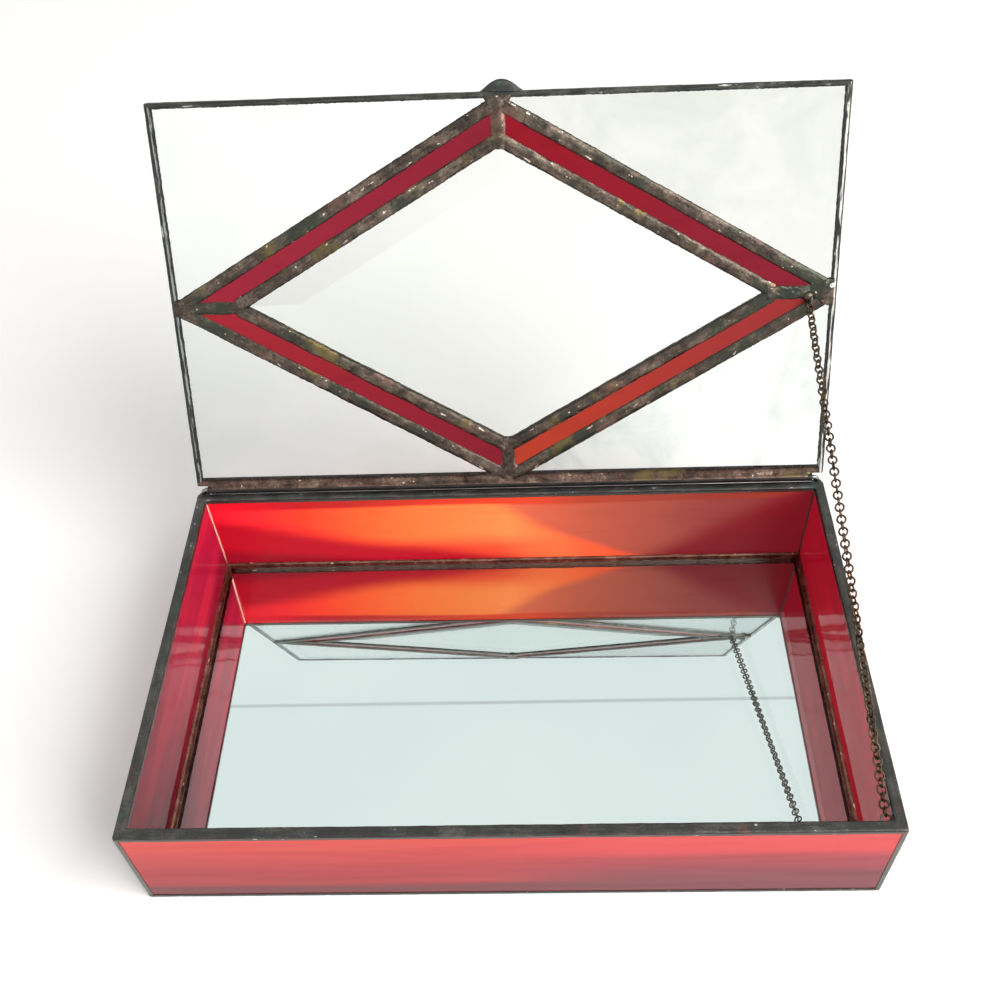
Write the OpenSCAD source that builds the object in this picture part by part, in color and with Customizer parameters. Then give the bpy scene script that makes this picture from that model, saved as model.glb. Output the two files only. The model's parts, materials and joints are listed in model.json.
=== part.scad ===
// Low glass casket box: opal glass walls, a mirror floor and a chain stay. Its lid holds a bevelled diamond.
// Origin: middle of the underside of the tray. +X right, front towards -Y, +Z up. The lid stands open.

/* [Tray] */
// Width of the tray over its glass
tray_w = 228; // [160:1:320]
// Depth of the tray over its glass, front to back
tray_d = 134.4; // [100:0.2:200]
// Height of the wall glass
wall_h = 40; // [25:0.5:80]
// Thickness of the wall, floor and lid glass
glass_t = 3; // [2:0.5:5]
// Thickness of the grey coat behind the mirror, and of the solder under the walls
backing_t = 0.3; // [0.2:0.1:0.6]

/* [Solder] */
// Gap between neighbouring pieces of glass, filled by foil and solder
foil_gap = 0.4; // [0.2:0.1:0.8]
// Thickness of the tinned foil on a face
foil_t = 0.2; // [0.1:0.05:0.4]
// Height of the rounded bead on the rim of the tray
rim_h = 1; // [0.6:0.1:1.6]
// How far the foil of the tray reaches over a face
foil_over = 1.3; // [0.8:0.1:2.5]
// Leg of the solder fillet inside the tray, up the walls and in the corners
fillet_r = 1.4; // [0.8:0.1:2.5]
// Reach of the brown seam over the mirror
floor_over = 2.4; // [1.6:0.1:4]

/* [Lid] */
// Width of the lid over its glass
lid_w = 227.6; // [160:0.2:320]
// Length of the lid over its glass, front to back
lid_l = 132.8; // [96:0.2:200]
// Angle of the open lid, from closed
lid_open = 116.3; // [80:0.1:130]
// Height of the seams under the lid, and of the gap that they leave over the rim
seam_under = 0.6; // [0.3:0.1:1.2]
// Height of the seams on top of the lid
seam_over = 0.8; // [0.4:0.1:1.5]
// Gap between the rim and the seams of the closed lid
lid_gap = 0.3; // [0.2:0.05:1]
// Width of the foil round the lid's edge
edge_w = 1.4; // [1:0.1:3]
// Width of the foil along the lid's hinged edge
back_edge_w = 2.4; // [1.4:0.1:4]
// How far the solder stands out round the lid's edge
edge_proud = 0.35; // [0.2:0.05:0.8]

/* [Diamond] */
// Long diagonal of the bevelled diamond
diamond_l = 185; // [120:0.5:200]
// Short diagonal of the bevelled diamond
diamond_w = 105.4; // [70:0.2:115]
// Width of the coloured strips round the diamond
strip_w = 9.6; // [6:0.2:14]
// Width of the seams between the lid's pieces of glass
seam_w = 4.4; // [3:0.1:6]
// How far the diamond sits to the right of the lid's middle
diamond_right = 0.8; // [0:0.1:2]
// How far the diamond sits behind the lid's middle
diamond_back = 0.9; // [0:0.1:2]
// Width of the ground bevel
bevel_w = 10.8; // [6:0.2:16]
// Rise of the bevel, from the diamond's edge to its flat
bevel_rise = 1.6; // [0.6:0.1:3]

/* [Hinge] */
// Radius of the steel rod
rod_r = 0.8; // [0.6:0.05:1.2]
// Running clearance between rod and tube
rod_play = 0.05; // [0.02:0.01:0.1]
// Wall of the brass tube
tube_wall = 0.35; // [0.25:0.05:0.6]
// Height of the hinge line over the rim
hinge_rise = 1; // [0.8:0.05:2.5]
// Radius of the rod's bend at each end
bend_r = 2; // [1.6:0.1:4]
// Length of the rod's bent ends, down from the hinge line
leg_l = 12; // [6:0.5:20]
// Inset of the bent ends from the sides of the tray
leg_inset = 1.6; // [1.2:0.1:4]
// Solder between the bent ends and the back of the tray
leg_off = 0.1; // [0.1:0.05:0.5]
// Reach of the solder round each bent end
joint_r = 1.4; // [0.8:0.1:2]
// How far that solder stays below the tube
joint_drop = 1.2; // [1:0.1:3]
// How far that solder reaches past the rod's end
joint_over = 0.6; // [0.4:0.1:1.5]
// Play between each end of the tube and the rod's bend
tube_play = 0.3; // [0.2:0.05:1]
// Gap between the lid's edge and the tube, filled by solder
tube_off = 0.15; // [0.1:0.05:0.5]
// Height of the solder over the tube
tube_fill = 0.5; // [0.3:0.1:1]

/* [Thumb tab] */
// Width of the tab on the lid's front edge
tab_w = 14; // [8:0.5:24]
// How far the tab stands out of the edge
tab_out = 3.6; // [2:0.1:6]
// Thickness of the tab
tab_t = 1.8; // [1:0.1:3]
// How far the tab sits right of the lid's middle
tab_right = 2.2; // [-4:0.2:4]

/* [Chain] */
// Wire radius of a chain link
wire_r = 0.24; // [0.15:0.01:0.3]
// Radius of a link, to the middle of its wire
link_r = 1.33; // [1.2:0.01:1.6]
// Play between two linked links
link_play = 0.15; // [0.1:0.01:0.25]
// Wire radius of the two eyes
eye_wire_r = 0.35; // [0.3:0.01:0.4]
// Radius of the two eyes, to the middle of their wire
eye_r = 1.4; // [1.25:0.05:1.8]
// Distance of the chain's front end from the inside of the right wall
chain_side = 1.9; // [1.8:0.1:6]
// Distance of the chain's front end from the inside of the front wall
chain_front = 3; // [2.9:0.1:8]
// Depth of the chain's front end below the top of the wall glass
chain_drop = 1.1; // [0.8:0.1:6]
// Distance of the chain's lid end from the lid's right edge
chain_inset = 9.4; // [8:0.1:20]
// Distance of the chain's lid end from the hinge line, along the lid
chain_reach = 63.8; // [40:0.2:66]
// Height of the chain's lid end off the lid's glass
chain_off = 2.2; // [2:0.1:4]
// Radius of the solder that holds each eye
eye_foot_r = 1.9; // [1.6:0.1:2.4]
// Radius of the bright drop of solder beside the lid's eye
drop_r = 1.1; // [0.8:0.1:1.4]
// Height of the drop off the lid's glass
drop_h = 0.75; // [0.7:0.05:0.8]
// Inset of the drop from the lid's right edge
drop_inset = 0.6; // [0.4:0.1:1]
// How far the drop lies ahead of the chain, along the lid
drop_ahead = 5.4; // [4:0.1:8]

/* [Hidden] */
fine = 48;
chain_parts = 14;
quarters = [["front_left", -1, -1], ["front_right", 1, -1], ["back_left", -1, 1], ["back_right", 1, 1]];
function named(prefix) = [for (q = quarters) str(prefix, q[0])];

// levels of the tray, from the table up
glass_z = backing_t;
mirror_z = glass_z + glass_t;
wall_z = glass_z + wall_h;
rim_z = wall_z + rim_h;
half_w = tray_w / 2;
half_d = tray_d / 2;
in_w = half_w - glass_t;
in_d = half_d - glass_t;

// the hinge line lies along the outside of the back wall; the closed lid lies over the rim
tube_r = rod_r + rod_play + tube_wall;
hinge_y = half_d + foil_t + leg_off + rod_r;
hinge_z = rim_z + hinge_rise;
lid_z = rim_z + lid_gap + seam_under;
lid_back = hinge_y - tube_r - edge_proud - tube_off;
lid_front = lid_back - lid_l;
lid_mid = (lid_back + lid_front) / 2;
lid_top = lid_z + glass_t;
leg_x = half_w - leg_inset;
tube_l = 2 * (leg_x - bend_r - tube_play);

// the diamond: slope of its sides, and distances of its lines from its middle
slope = atan(diamond_w / diamond_l);
diamond_p = diamond_l / 2 * sin(slope);
strip_in = diamond_p + foil_gap;
strip_out = strip_in + strip_w;
pane_in = strip_out + foil_gap;
inner_line = diamond_p + foil_gap / 2;
outer_line = strip_out + foil_gap / 2;

// the chain's two ends, where its first and last links bear on the eyes
function open_point(u, s, off) = [
    u,
    hinge_y - cos(lid_open) * s - sin(lid_open) * off,
    hinge_z + sin(lid_open) * s - cos(lid_open) * off,
];
chain_a = [in_w - chain_side, chain_front - in_d, wall_z - chain_drop];
chain_b = open_point(lid_w / 2 - chain_inset, chain_reach, chain_off + hinge_z - lid_z);
chain_v = chain_b - chain_a;
chain_len = norm(chain_v);
end_gap = link_r - wire_r - eye_wire_r - link_play / 2;
links = 1 + ceil((chain_len - 2 * end_gap) / (2 * link_r - 2 * wire_r - link_play));
pitch = (chain_len - 2 * end_gap) / (links - 1);
chain_yaw = atan2(chain_v[1], chain_v[0]);
chain_rise = asin(chain_v[2] / chain_len);

// the first link stands upright; each one after it turns a quarter, and a little more
link_turn = 90;
link_twist = 1.5;

amber = [0.85, 0.22, 0.1];
crimson = [0.62, 0.1, 0.17];
patina = [0.28, 0.29, 0.28];
copper = [0.36, 0.29, 0.25];
clear = [0.88, 0.92, 0.91];

// a plate from one corner to the opposite one
module plate(low, high) { translate(low) cube(high - low); }

// a lens-shaped bead profile, w wide and h high, on the line y = 0
module crown(w, h) {
    r = (w * w / 4 + h * h) / (2 * h);
    intersection() {
        translate([0, h - r]) circle(r = r, $fn = fine);
        translate([-w / 2, 0]) square([w, h]);
    }
}

// a bead along X, centred, standing up from z = 0
module bead(len, w, h) { rotate([90, 0, 90]) linear_extrude(len, center = true) crown(w, h); }

// ---- the tray ----

module wall_front_back(side) {
    y = side < 0 ? -half_d : in_d;
    plate([-half_w, y, glass_z], [half_w, y + glass_t, wall_z]);
}

module wall_left_right(side) {
    x = side < 0 ? -half_w : in_w;
    plate([x, foil_gap - in_d, glass_z], [x + glass_t, in_d - foil_gap, wall_z]);
}

module walls() {
    for (side = [-1, 1]) {
        wall_front_back(side);
        wall_left_right(side);
    }
}

module floor_glass() {
    plate([foil_gap - in_w, foil_gap - in_d, glass_z], [in_w - foil_gap, in_d - foil_gap, mirror_z]);
}

module front_pane() { color(crimson) wall_front_back(-1); }
module back_pane() { color(amber) wall_front_back(1); }
module left_pane() { color(crimson) wall_left_right(-1); }
module right_pane() { color(crimson) wall_left_right(1); }
module mirror_floor() { color([0.8, 0.86, 0.86]) floor_glass(); }

module mirror_backing() {
    x = in_w - foil_gap - foil_over;
    y = in_d - foil_gap - foil_over;
    color([0.45, 0.46, 0.47]) plate([-x, -y, 0], [x, y, backing_t]);
}

// a rectangular ring between two half sizes, from z_low to z_high
module ring(out_x, out_y, wall, z_low, z_high) {
    difference() {
        plate([-out_x, -out_y, z_low], [out_x, out_y, z_high]);
        plate([wall - out_x, wall - out_y, z_low - 1], [out_x - wall, out_y - wall, z_high + 1]);
    }
}

module rim_bead() {
    cap = glass_t + 2 * foil_t;
    color(patina) difference() {
        union() {
            ring(half_w + foil_t, half_d + foil_t, cap, wall_z - foil_over, wall_z);
            for (side = [-1, 1]) {
                translate([0, side * (half_d - glass_t / 2), wall_z])
                    bead(2 * (half_w + foil_t), cap, rim_h);
                translate([side * (half_w - glass_t / 2), 0, wall_z])
                    rotate(90) bead(2 * (half_d + foil_t), cap, rim_h);
            }
        }
        walls();
    }
}

module base_bead() {
    reach = foil_t + glass_t + foil_gap + foil_over;
    color(patina) difference() {
        union() {
            ring(half_w + foil_t, half_d + foil_t, reach, 0, glass_z);
            ring(half_w + foil_t, half_d + foil_t, foil_t, glass_z, glass_z + foil_over);
        }
        walls();
    }
}

// the fillet round the mirror: a flat foil strip, a rounded root and the filled gap
module floor_fillet(len) {
    translate([0, 0, glass_z]) plate([-len / 2, -foil_gap, 0], [len / 2, 0, glass_t]);
    translate([0, 0, mirror_z]) {
        plate([-len / 2, -foil_gap - floor_over, 0], [len / 2, 0, foil_t]);
        rotate([90, 0, 90]) linear_extrude(len, center = true) intersection() {
            circle(r = fillet_r, $fn = fine);
            translate([-fillet_r, 0]) square(fillet_r);
        }
    }
}

module floor_seam() {
    color(copper) for (side = [-1, 1]) {
        rotate(side < 0 ? 180 : 0) translate([0, in_d, 0]) floor_fillet(2 * in_w);
        rotate(side * 90) translate([0, in_w, 0]) floor_fillet(2 * in_d);
    }
}

// an upright corner seam: foil over both outer faces, the filled gap, and a root inside
module corner_profile() {
    lap = glass_t + foil_gap + foil_over;
    translate([-foil_t, -foil_t]) square([foil_t, lap + foil_t]);
    translate([-foil_t, -foil_t]) square([foil_over + foil_t, foil_t]);
    intersection() {
        translate([glass_t, glass_t]) circle(r = fillet_r, $fn = fine);
        translate([glass_t, glass_t]) square(fillet_r);
    }
    translate([0, glass_t]) square([glass_t + foil_gap, foil_gap]);
}

module corner_seam(side_x, side_y) {
    low = mirror_z + fillet_r;
    high = wall_z - foil_over;
    color(patina) difference() {
        translate([side_x * half_w, side_y * half_d, glass_z + foil_over])
            scale([-side_x, -side_y, 1]) linear_extrude(high - glass_z - foil_over) corner_profile();
        walls();
        plate([-in_w, -in_d, 0], [in_w, in_d, low]);
    }
}

// ---- the hinge ----

module hinge_rod() {
    color([0.5, 0.5, 0.5]) {
        translate([0, hinge_y, hinge_z]) rotate([0, 90, 0])
            cylinder(r = rod_r, h = 2 * (leg_x - bend_r), center = true, $fn = fine);
        for (side = [-1, 1]) translate([side * (leg_x - bend_r), hinge_y, hinge_z - bend_r]) {
            rotate([90, 0, 0]) rotate(side < 0 ? 90 : 0)
                rotate_extrude(angle = 90, $fn = fine) translate([bend_r, 0]) circle(r = rod_r, $fn = fine);
            translate([side * bend_r, 0, bend_r - leg_l])
                cylinder(r = rod_r, h = leg_l - bend_r, $fn = fine);
        }
    }
}

// the solder that holds a bent end of the rod against the back of the tray
module rod_joint(side) {
    low = hinge_z - leg_l - joint_over;
    high = hinge_z - tube_r - joint_drop;
    r = rod_r + joint_r;
    color(patina) difference() {
        intersection() {
            translate([side * leg_x, half_d + foil_t, low]) cylinder(r = r, h = high - low, $fn = fine);
            plate([-half_w, half_d, low], [half_w, half_d + 10, high]);
        }
        translate([side * leg_x, hinge_y, hinge_z - leg_l]) cylinder(r = rod_r, h = leg_l, $fn = fine);
        corner_skin();
    }
}

// the space of the foil on the tray's back corners and rim, which the rod's solder lies on
module corner_skin() {
    plate([-half_w - foil_t, 0, 0], [half_w + foil_t, half_d + foil_t, rim_z]);
}

// ---- the lid, drawn closed and turned open ----

module opened() {
    translate([0, hinge_y, hinge_z]) rotate([-lid_open, 0, 0]) translate([0, -hinge_y, -hinge_z]) children();
}

// a rhombus whose sides lie p from its middle
module rhombus(p) {
    a = p / sin(slope);
    b = p / cos(slope);
    polygon([[a, 0], [0, b], [-a, 0], [0, -b]]);
}

module at_diamond() { translate([diamond_right, lid_mid + diamond_back]) children(); }

// one quarter of the lid, clear of the lines through the diamond's middle by half of gap
module quarter(side_x, side_y, gap) {
    big = lid_w + lid_l;
    at_diamond() translate([side_x * (big + gap) / 2, side_y * (big + gap) / 2]) square(big, center = true);
}

module lid_outline() { translate([-lid_w / 2, lid_front]) square([lid_w, lid_l]); }

module pane_shape(side_x, side_y) {
    difference() {
        intersection() {
            lid_outline();
            quarter(side_x, side_y, foil_gap);
        }
        at_diamond() rhombus(pane_in);
    }
}

module strip_shape(side_x, side_y) {
    intersection() {
        at_diamond() difference() {
            rhombus(strip_out);
            rhombus(strip_in);
        }
        quarter(side_x, side_y, foil_gap);
        lid_outline();
    }
}

module glass_sheet() { translate([0, 0, lid_z]) linear_extrude(glass_t) children(); }

module lid_pane(side_x, side_y) { color(clear) opened() glass_sheet() pane_shape(side_x, side_y); }
module strip(side_x, side_y) { color(crimson) opened() glass_sheet() strip_shape(side_x, side_y); }

module diamond_glass() {
    tilt = atan(bevel_rise / bevel_w);
    translate([diamond_right, lid_mid + diamond_back, lid_z]) difference() {
        linear_extrude(glass_t + bevel_rise) rhombus(diamond_p);
        for (side = [0, 180], lean = [-1, 1])
            rotate(side + lean * (90 - slope)) translate([diamond_p, 0, glass_t])
                rotate([0, tilt, 0]) translate([-2 * bevel_w, -diamond_l, 0])
                    cube([4 * bevel_w, 2 * diamond_l, 2 * bevel_rise]);
    }
}

module bevel_diamond() { color(clear) opened() diamond_glass(); }

module lid_glass() {
    glass_sheet() for (q = quarters) {
        pane_shape(q[1], q[2]);
        strip_shape(q[1], q[2]);
    }
    diamond_glass();
}

// the lid without the foil round its edge
module inside_edges() {
    x = lid_w / 2 - edge_w;
    plate([-x, lid_front + edge_w, lid_z - 5], [x, lid_back - back_edge_w, lid_top + 5]);
}

// a seam along X: the bead on top of the glass, and the bead below with the solder between the panes
module seam_top(len) { translate([0, 0, lid_top]) bead(len, seam_w, seam_over); }

module seam_low(len, fill_w) {
    translate([0, 0, lid_z]) mirror([0, 0, 1]) bead(len, seam_w, seam_under);
    plate([-len / 2, -fill_w / 2, lid_z], [len / 2, fill_w / 2, lid_top]);
}

// a seam along one side of a rhombus, up to the mitre seams and the lid's edge
module side_seam(p, side_x, side_y) {
    middle = [side_x * p / sin(slope), side_y * p / cos(slope)] / 2;
    turn = -side_x * side_y * slope;
    len = 2 * norm(middle) + 4 * seam_w;
    color(copper) opened() intersection() {
        union() {
            at_diamond() translate(middle) rotate(turn) seam_low(len, foil_gap);
            difference() {
                at_diamond() translate(middle) rotate(turn) seam_top(len);
                diamond_glass();
            }
        }
        translate([0, 0, lid_z - 5]) linear_extrude(glass_t + 10) quarter(side_x, side_y, seam_w);
        inside_edges();
    }
}

module outer_seam(side_x, side_y) { side_seam(outer_line, side_x, side_y); }
module inner_seam(side_x, side_y) { side_seam(inner_line, side_x, side_y); }

// a seam from the diamond's corner to the lid's edge, turned towards one side
module mitre(turn) {
    reach = lid_w;
    color(copper) opened() difference() {
        intersection() {
            at_diamond() rotate(turn) translate([reach / 2, 0]) {
                seam_top(reach);
                seam_low(reach, seam_w);
            }
            inside_edges();
        }
        translate([0, 0, lid_z - 5]) linear_extrude(glass_t + 10)
            at_diamond() rhombus(inner_line - seam_w / 2);
        lid_glass();
    }
}

// the foil and solder round the lid's edge, between two corners of the closed lid
module edge_wrap(low, high) {
    difference() {
        plate([low[0], low[1], lid_z - foil_t], [high[0], high[1], lid_top + foil_t]);
        lid_glass();
    }
}

module lid_edge_side(side) {
    x = side < 0 ? -lid_w / 2 - edge_proud : lid_w / 2 - edge_w;
    color(patina) opened()
        edge_wrap([x, lid_front + edge_w], [x + edge_w + edge_proud, lid_back - back_edge_w]);
}
module lid_edge_left() { lid_edge_side(-1); }
module lid_edge_right() { lid_edge_side(1); }

module lid_edge_front() {
    x = lid_w / 2 + edge_proud;
    color(patina) opened() edge_wrap([-x, lid_front - edge_proud], [x, lid_front + edge_w]);
}

// the hinged edge: its foil, and the solder that joins it to the tube
module lid_edge_back() {
    x = lid_w / 2 + edge_proud;
    color(copper) opened() difference() {
        union() {
            edge_wrap([-x, lid_back - back_edge_w], [x, lid_back + edge_proud]);
            plate([-tube_l / 2, lid_back, lid_z],
                [tube_l / 2, hinge_y + tube_r / 2, hinge_z + tube_r + tube_fill]);
        }
        translate([0, hinge_y, hinge_z]) rotate([0, 90, 0])
            cylinder(r = tube_r, h = tray_w, center = true, $fn = fine);
    }
}

module hinge_tube() {
    color([0.3, 0.33, 0.38]) opened() translate([0, hinge_y, hinge_z]) rotate([0, 90, 0]) difference() {
        cylinder(r = tube_r, h = tube_l, center = true, $fn = fine);
        cylinder(r = rod_r + rod_play, h = tube_l + 2, center = true, $fn = fine);
    }
}

module mitre_front() { mitre(-90); }
module mitre_back() { mitre(90); }
module mitre_left() { mitre(180); }
module mitre_right() { mitre(0); }

module thumb_tab() {
    r = (tab_w * tab_w / 4 + tab_out * tab_out) / (2 * tab_out);
    color(patina) opened()
        translate([tab_right, lid_front - edge_proud, lid_z + glass_t / 2 - tab_t / 2]) linear_extrude(tab_t)
            intersection() {
                translate([0, r - tab_out]) circle(r = r, $fn = 96);
                translate([-tab_w / 2, -tab_out]) square([tab_w, tab_out]);
            }
}

// ---- the chain stay ----

// a frame at a distance along the chain, X pointing along it
module along_chain(dist) {
    translate(chain_a + chain_v * dist / chain_len) rotate([0, -chain_rise, chain_yaw]) children();
}

// a wire ring in its own plane, turned about the chain
module wire_ring(r, wire, turn) {
    rotate([turn, 0, 0]) rotate_extrude($fn = fine) translate([r, 0]) circle(r = wire, $fn = 24);
}

module chain_part(k) {
    first = floor((k - 1) * links / chain_parts);
    last = floor(k * links / chain_parts) - 1;
    color([0.45, 0.33, 0.2]) for (i = [first:last])
        along_chain(end_gap + i * pitch) wire_ring(link_r, wire_r, link_turn + (90 + link_twist) * i);
}

// the eye in the tray's front right corner, cut back to the walls, the foil of the rim and the corner's root
module tray_eye() {
    color(copper) difference() {
        union() {
            along_chain(-eye_r) wire_ring(eye_r, eye_wire_r, link_turn + 90);
            translate([in_w, -in_d, chain_a[2] - eye_r / 2]) sphere(r = eye_foot_r, $fn = fine);
        }
        plate([in_w, -half_d, 0], [half_w, 0, rim_z]);
        plate([0, -half_d, 0], [half_w, -in_d, rim_z]);
        plate([in_w - foil_t, -half_d, wall_z - foil_over], [half_w, 0, rim_z]);
        plate([0, -half_d, wall_z - foil_over], [half_w, foil_t - in_d, rim_z]);
        translate([in_w, -in_d, 0]) cylinder(r = fillet_r, h = wall_z - foil_over, $fn = fine);
    }
}

// what solder under the lid's right side lies against: the glass or its foil, and the bead of the seam there
module right_seat(skin) {
    opened() {
        plate([0, lid_front, lid_z - skin], [lid_w, lid_back, lid_top + 5]);
        at_diamond() translate([lid_w / 2, 0, lid_z]) mirror([0, 0, 1]) bead(lid_w, seam_w, seam_under);
    }
}

module lid_eye() {
    foot = [lid_w / 2 - chain_inset, hinge_y - chain_reach - 1.5 * eye_r, lid_z];
    color(copper) difference() {
        union() {
            along_chain(chain_len + eye_r)
                wire_ring(eye_r, eye_wire_r, link_turn + 90 + (90 + link_twist) * (links - 1));
            opened() translate(foot) sphere(r = eye_foot_r, $fn = fine);
        }
        right_seat(0);
    }
}

// a bright round drop of solder on the seam beside the eye, low enough to clear the rim
module solder_drop() {
    middle = [lid_w / 2 - drop_inset, hinge_y - chain_reach - drop_ahead, lid_z - drop_h + drop_r];
    color([0.85, 0.85, 0.83]) difference() {
        opened() translate(middle) sphere(r = drop_r, $fn = fine);
        right_seat(foil_t);
    }
}

front_pane();
back_pane();
left_pane();
right_pane();
mirror_floor();
mirror_backing();
rim_bead();
base_bead();
floor_seam();
hinge_rod();
rod_joint(-1);  // rod_joint_left
rod_joint(1);  // rod_joint_right
tray_eye();
for (q = quarters) {
    corner_seam(q[1], q[2]);
    lid_pane(q[1], q[2]);
    strip(q[1], q[2]);
    outer_seam(q[1], q[2]);
    inner_seam(q[1], q[2]);
}
bevel_diamond();
lid_edge_front();
lid_edge_back();
lid_edge_left();
lid_edge_right();
mitre_front();
mitre_back();
mitre_left();
mitre_right();
hinge_tube();
thumb_tab();
lid_eye();
solder_drop();
for (k = [1:chain_parts]) chain_part(k);
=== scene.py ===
import json
import math

import bmesh
import bpy
import numpy as np
from mathutils import Matrix, Vector


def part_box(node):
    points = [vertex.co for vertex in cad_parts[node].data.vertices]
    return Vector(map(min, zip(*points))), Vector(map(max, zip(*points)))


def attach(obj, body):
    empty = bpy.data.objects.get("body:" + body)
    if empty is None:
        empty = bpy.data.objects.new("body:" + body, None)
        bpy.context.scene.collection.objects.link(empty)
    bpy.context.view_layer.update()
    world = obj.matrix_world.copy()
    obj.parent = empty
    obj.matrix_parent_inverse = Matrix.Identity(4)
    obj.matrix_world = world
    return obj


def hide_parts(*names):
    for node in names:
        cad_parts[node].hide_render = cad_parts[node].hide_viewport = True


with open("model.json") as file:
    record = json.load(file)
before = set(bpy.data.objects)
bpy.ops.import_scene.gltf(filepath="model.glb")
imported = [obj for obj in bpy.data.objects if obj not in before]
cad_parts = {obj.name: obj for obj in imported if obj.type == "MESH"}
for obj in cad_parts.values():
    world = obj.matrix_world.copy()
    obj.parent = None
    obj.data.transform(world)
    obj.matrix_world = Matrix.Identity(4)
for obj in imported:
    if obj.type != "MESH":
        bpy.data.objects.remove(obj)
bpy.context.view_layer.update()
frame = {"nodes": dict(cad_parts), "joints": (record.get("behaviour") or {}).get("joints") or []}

mm = 0.001
toMm = 1000


# where things are, from the frame

def nodePoints(node):
    mesh = frame["nodes"][node].data
    co = np.empty(len(mesh.vertices) * 3, np.float32)
    mesh.vertices.foreach_get("co", co)
    return co.reshape(-1, 3).astype(float)


hinge = next(j for j in frame["joints"] if j["name"] == "lid_hinge")
hingeAt = np.array(hinge["pos_m"], float)
lidOpen = math.radians(hinge["range_deg"][1])


def turnAboutHinge(points, angle):
    # the usual turn in Y and Z, about the hinge line along X
    p = np.asarray(points, float) - hingeAt
    c, s = math.cos(angle), math.sin(angle)
    y = p[..., 1] * c - p[..., 2] * s
    z = p[..., 1] * s + p[..., 2] * c
    return np.stack([p[..., 0], y, z], -1) + hingeAt


def openLid(points):
    return turnAboutHinge(points, -lidOpen)


def closedPoints(node):
    return turnAboutHinge(nodePoints(node), lidOpen)


def closedBox(node):
    p = closedPoints(node)
    return p.min(0), p.max(0)


frontLow, frontHigh = map(np.array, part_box("front_pane"))
backHigh = np.array(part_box("back_pane")[1])
mirrorLow, mirrorHigh = map(np.array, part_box("mirror_floor"))
halfW, halfD = frontHigh[0], backHigh[1]
wallLow, wallTop = frontLow[2], frontHigh[2]
glassT = frontHigh[1] - frontLow[1]
inW, inD = halfW - glassT, halfD - glassT
mirrorZ = mirrorHigh[2]
diamondLow, diamondHigh = closedBox("bevel_diamond")
edgeLow, edgeHigh = closedBox("lid_pane_front_left")[0], closedBox("lid_pane_back_right")[1]
lidZ, lidTop = edgeLow[2], edgeLow[2] + glassT
middle = (diamondLow + diamondHigh)[:2] / 2
halfDiag = (diamondHigh - diamondLow)[:2] / 2
slope = math.atan2(halfDiag[1], halfDiag[0])
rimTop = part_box("rim_bead")[1][2]
print("frame read: tray", halfW * 2, halfD * 2, "lid opened", math.degrees(lidOpen))


# camera

camera = {
    "place": (12.01 * mm, -211.41 * mm, 345.77 * mm),
    "forward": (-0.03577, 0.66655, -0.74460),
    "right": (0.99913, 0.00795, -0.04088),
    "focalShare": 1.13095,  # focal length over the image's side
    "sensor": 36.0,
}


def makeCamera(c):
    data = bpy.data.cameras.new("camera")
    data.sensor_width = c["sensor"]
    data.lens = c["sensor"] * c["focalShare"]
    data.clip_start, data.clip_end = 0.01, 50
    obj = bpy.data.objects.new("camera", data)
    bpy.context.scene.collection.objects.link(obj)
    back = -Vector(c["forward"]).normalized()
    right = Vector(c["right"]).normalized()
    up = back.cross(right).normalized()
    turn = Matrix((right, up, back)).transposed().to_4x4()
    obj.matrix_world = Matrix.Translation(c["place"]) @ turn
    bpy.context.scene.camera = obj


makeCamera(camera)
bpy.context.scene.view_settings.view_transform = "Standard"


# shapes as arrays

def noise(a, b, seed):
    # random heights on a unit grid, blended between grid points with an eased weight; runs from -1 to 1
    rows, cols = 256, 64
    table = np.random.default_rng(seed).uniform(-1, 1, (rows, cols))
    ia, ib = np.floor(a).astype(int), np.floor(b).astype(int)
    fa, fb = a - ia, b - ib
    fa, fb = fa * fa * (3 - 2 * fa), fb * fb * (3 - 2 * fb)
    i, j, nextI, nextJ = ia % rows, ib % cols, (ia + 1) % rows, (ib + 1) % cols
    low = table[i, j] * (1 - fa) + table[nextI, j] * fa
    high = table[i, nextJ] * (1 - fa) + table[nextI, nextJ] * fa
    return low * (1 - fb) + high * fb


def ease(x):
    # 0 below 0, 1 above 1, and an S curve between
    x = np.clip(x, 0, 1)
    return x * x * (3 - 2 * x)


def arc(halfWidth, height, count, power=2.3, fall=1.8):
    # a low crown: height times a rounded fall from the middle to both sides
    a = np.cos(np.linspace(math.pi, 0, count)) * halfWidth
    return np.stack([a, height * (1 - np.abs(a / halfWidth) ** power) ** (1 / fall)], 1)


def gridFaces(rows, cols, closeRows):
    # one quad per cell; the columns always close into a loop, the rows do if closeRows
    r = np.arange(rows if closeRows else rows - 1)[:, None]
    c = np.arange(cols)[None, :]
    r2, c2 = (r + 1) % rows, (c + 1) % cols
    corners = [r * cols + c, r * cols + c2, r2 * cols + c2, r2 * cols + c]
    return np.stack(corners, -1).reshape(-1, 4)


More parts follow.
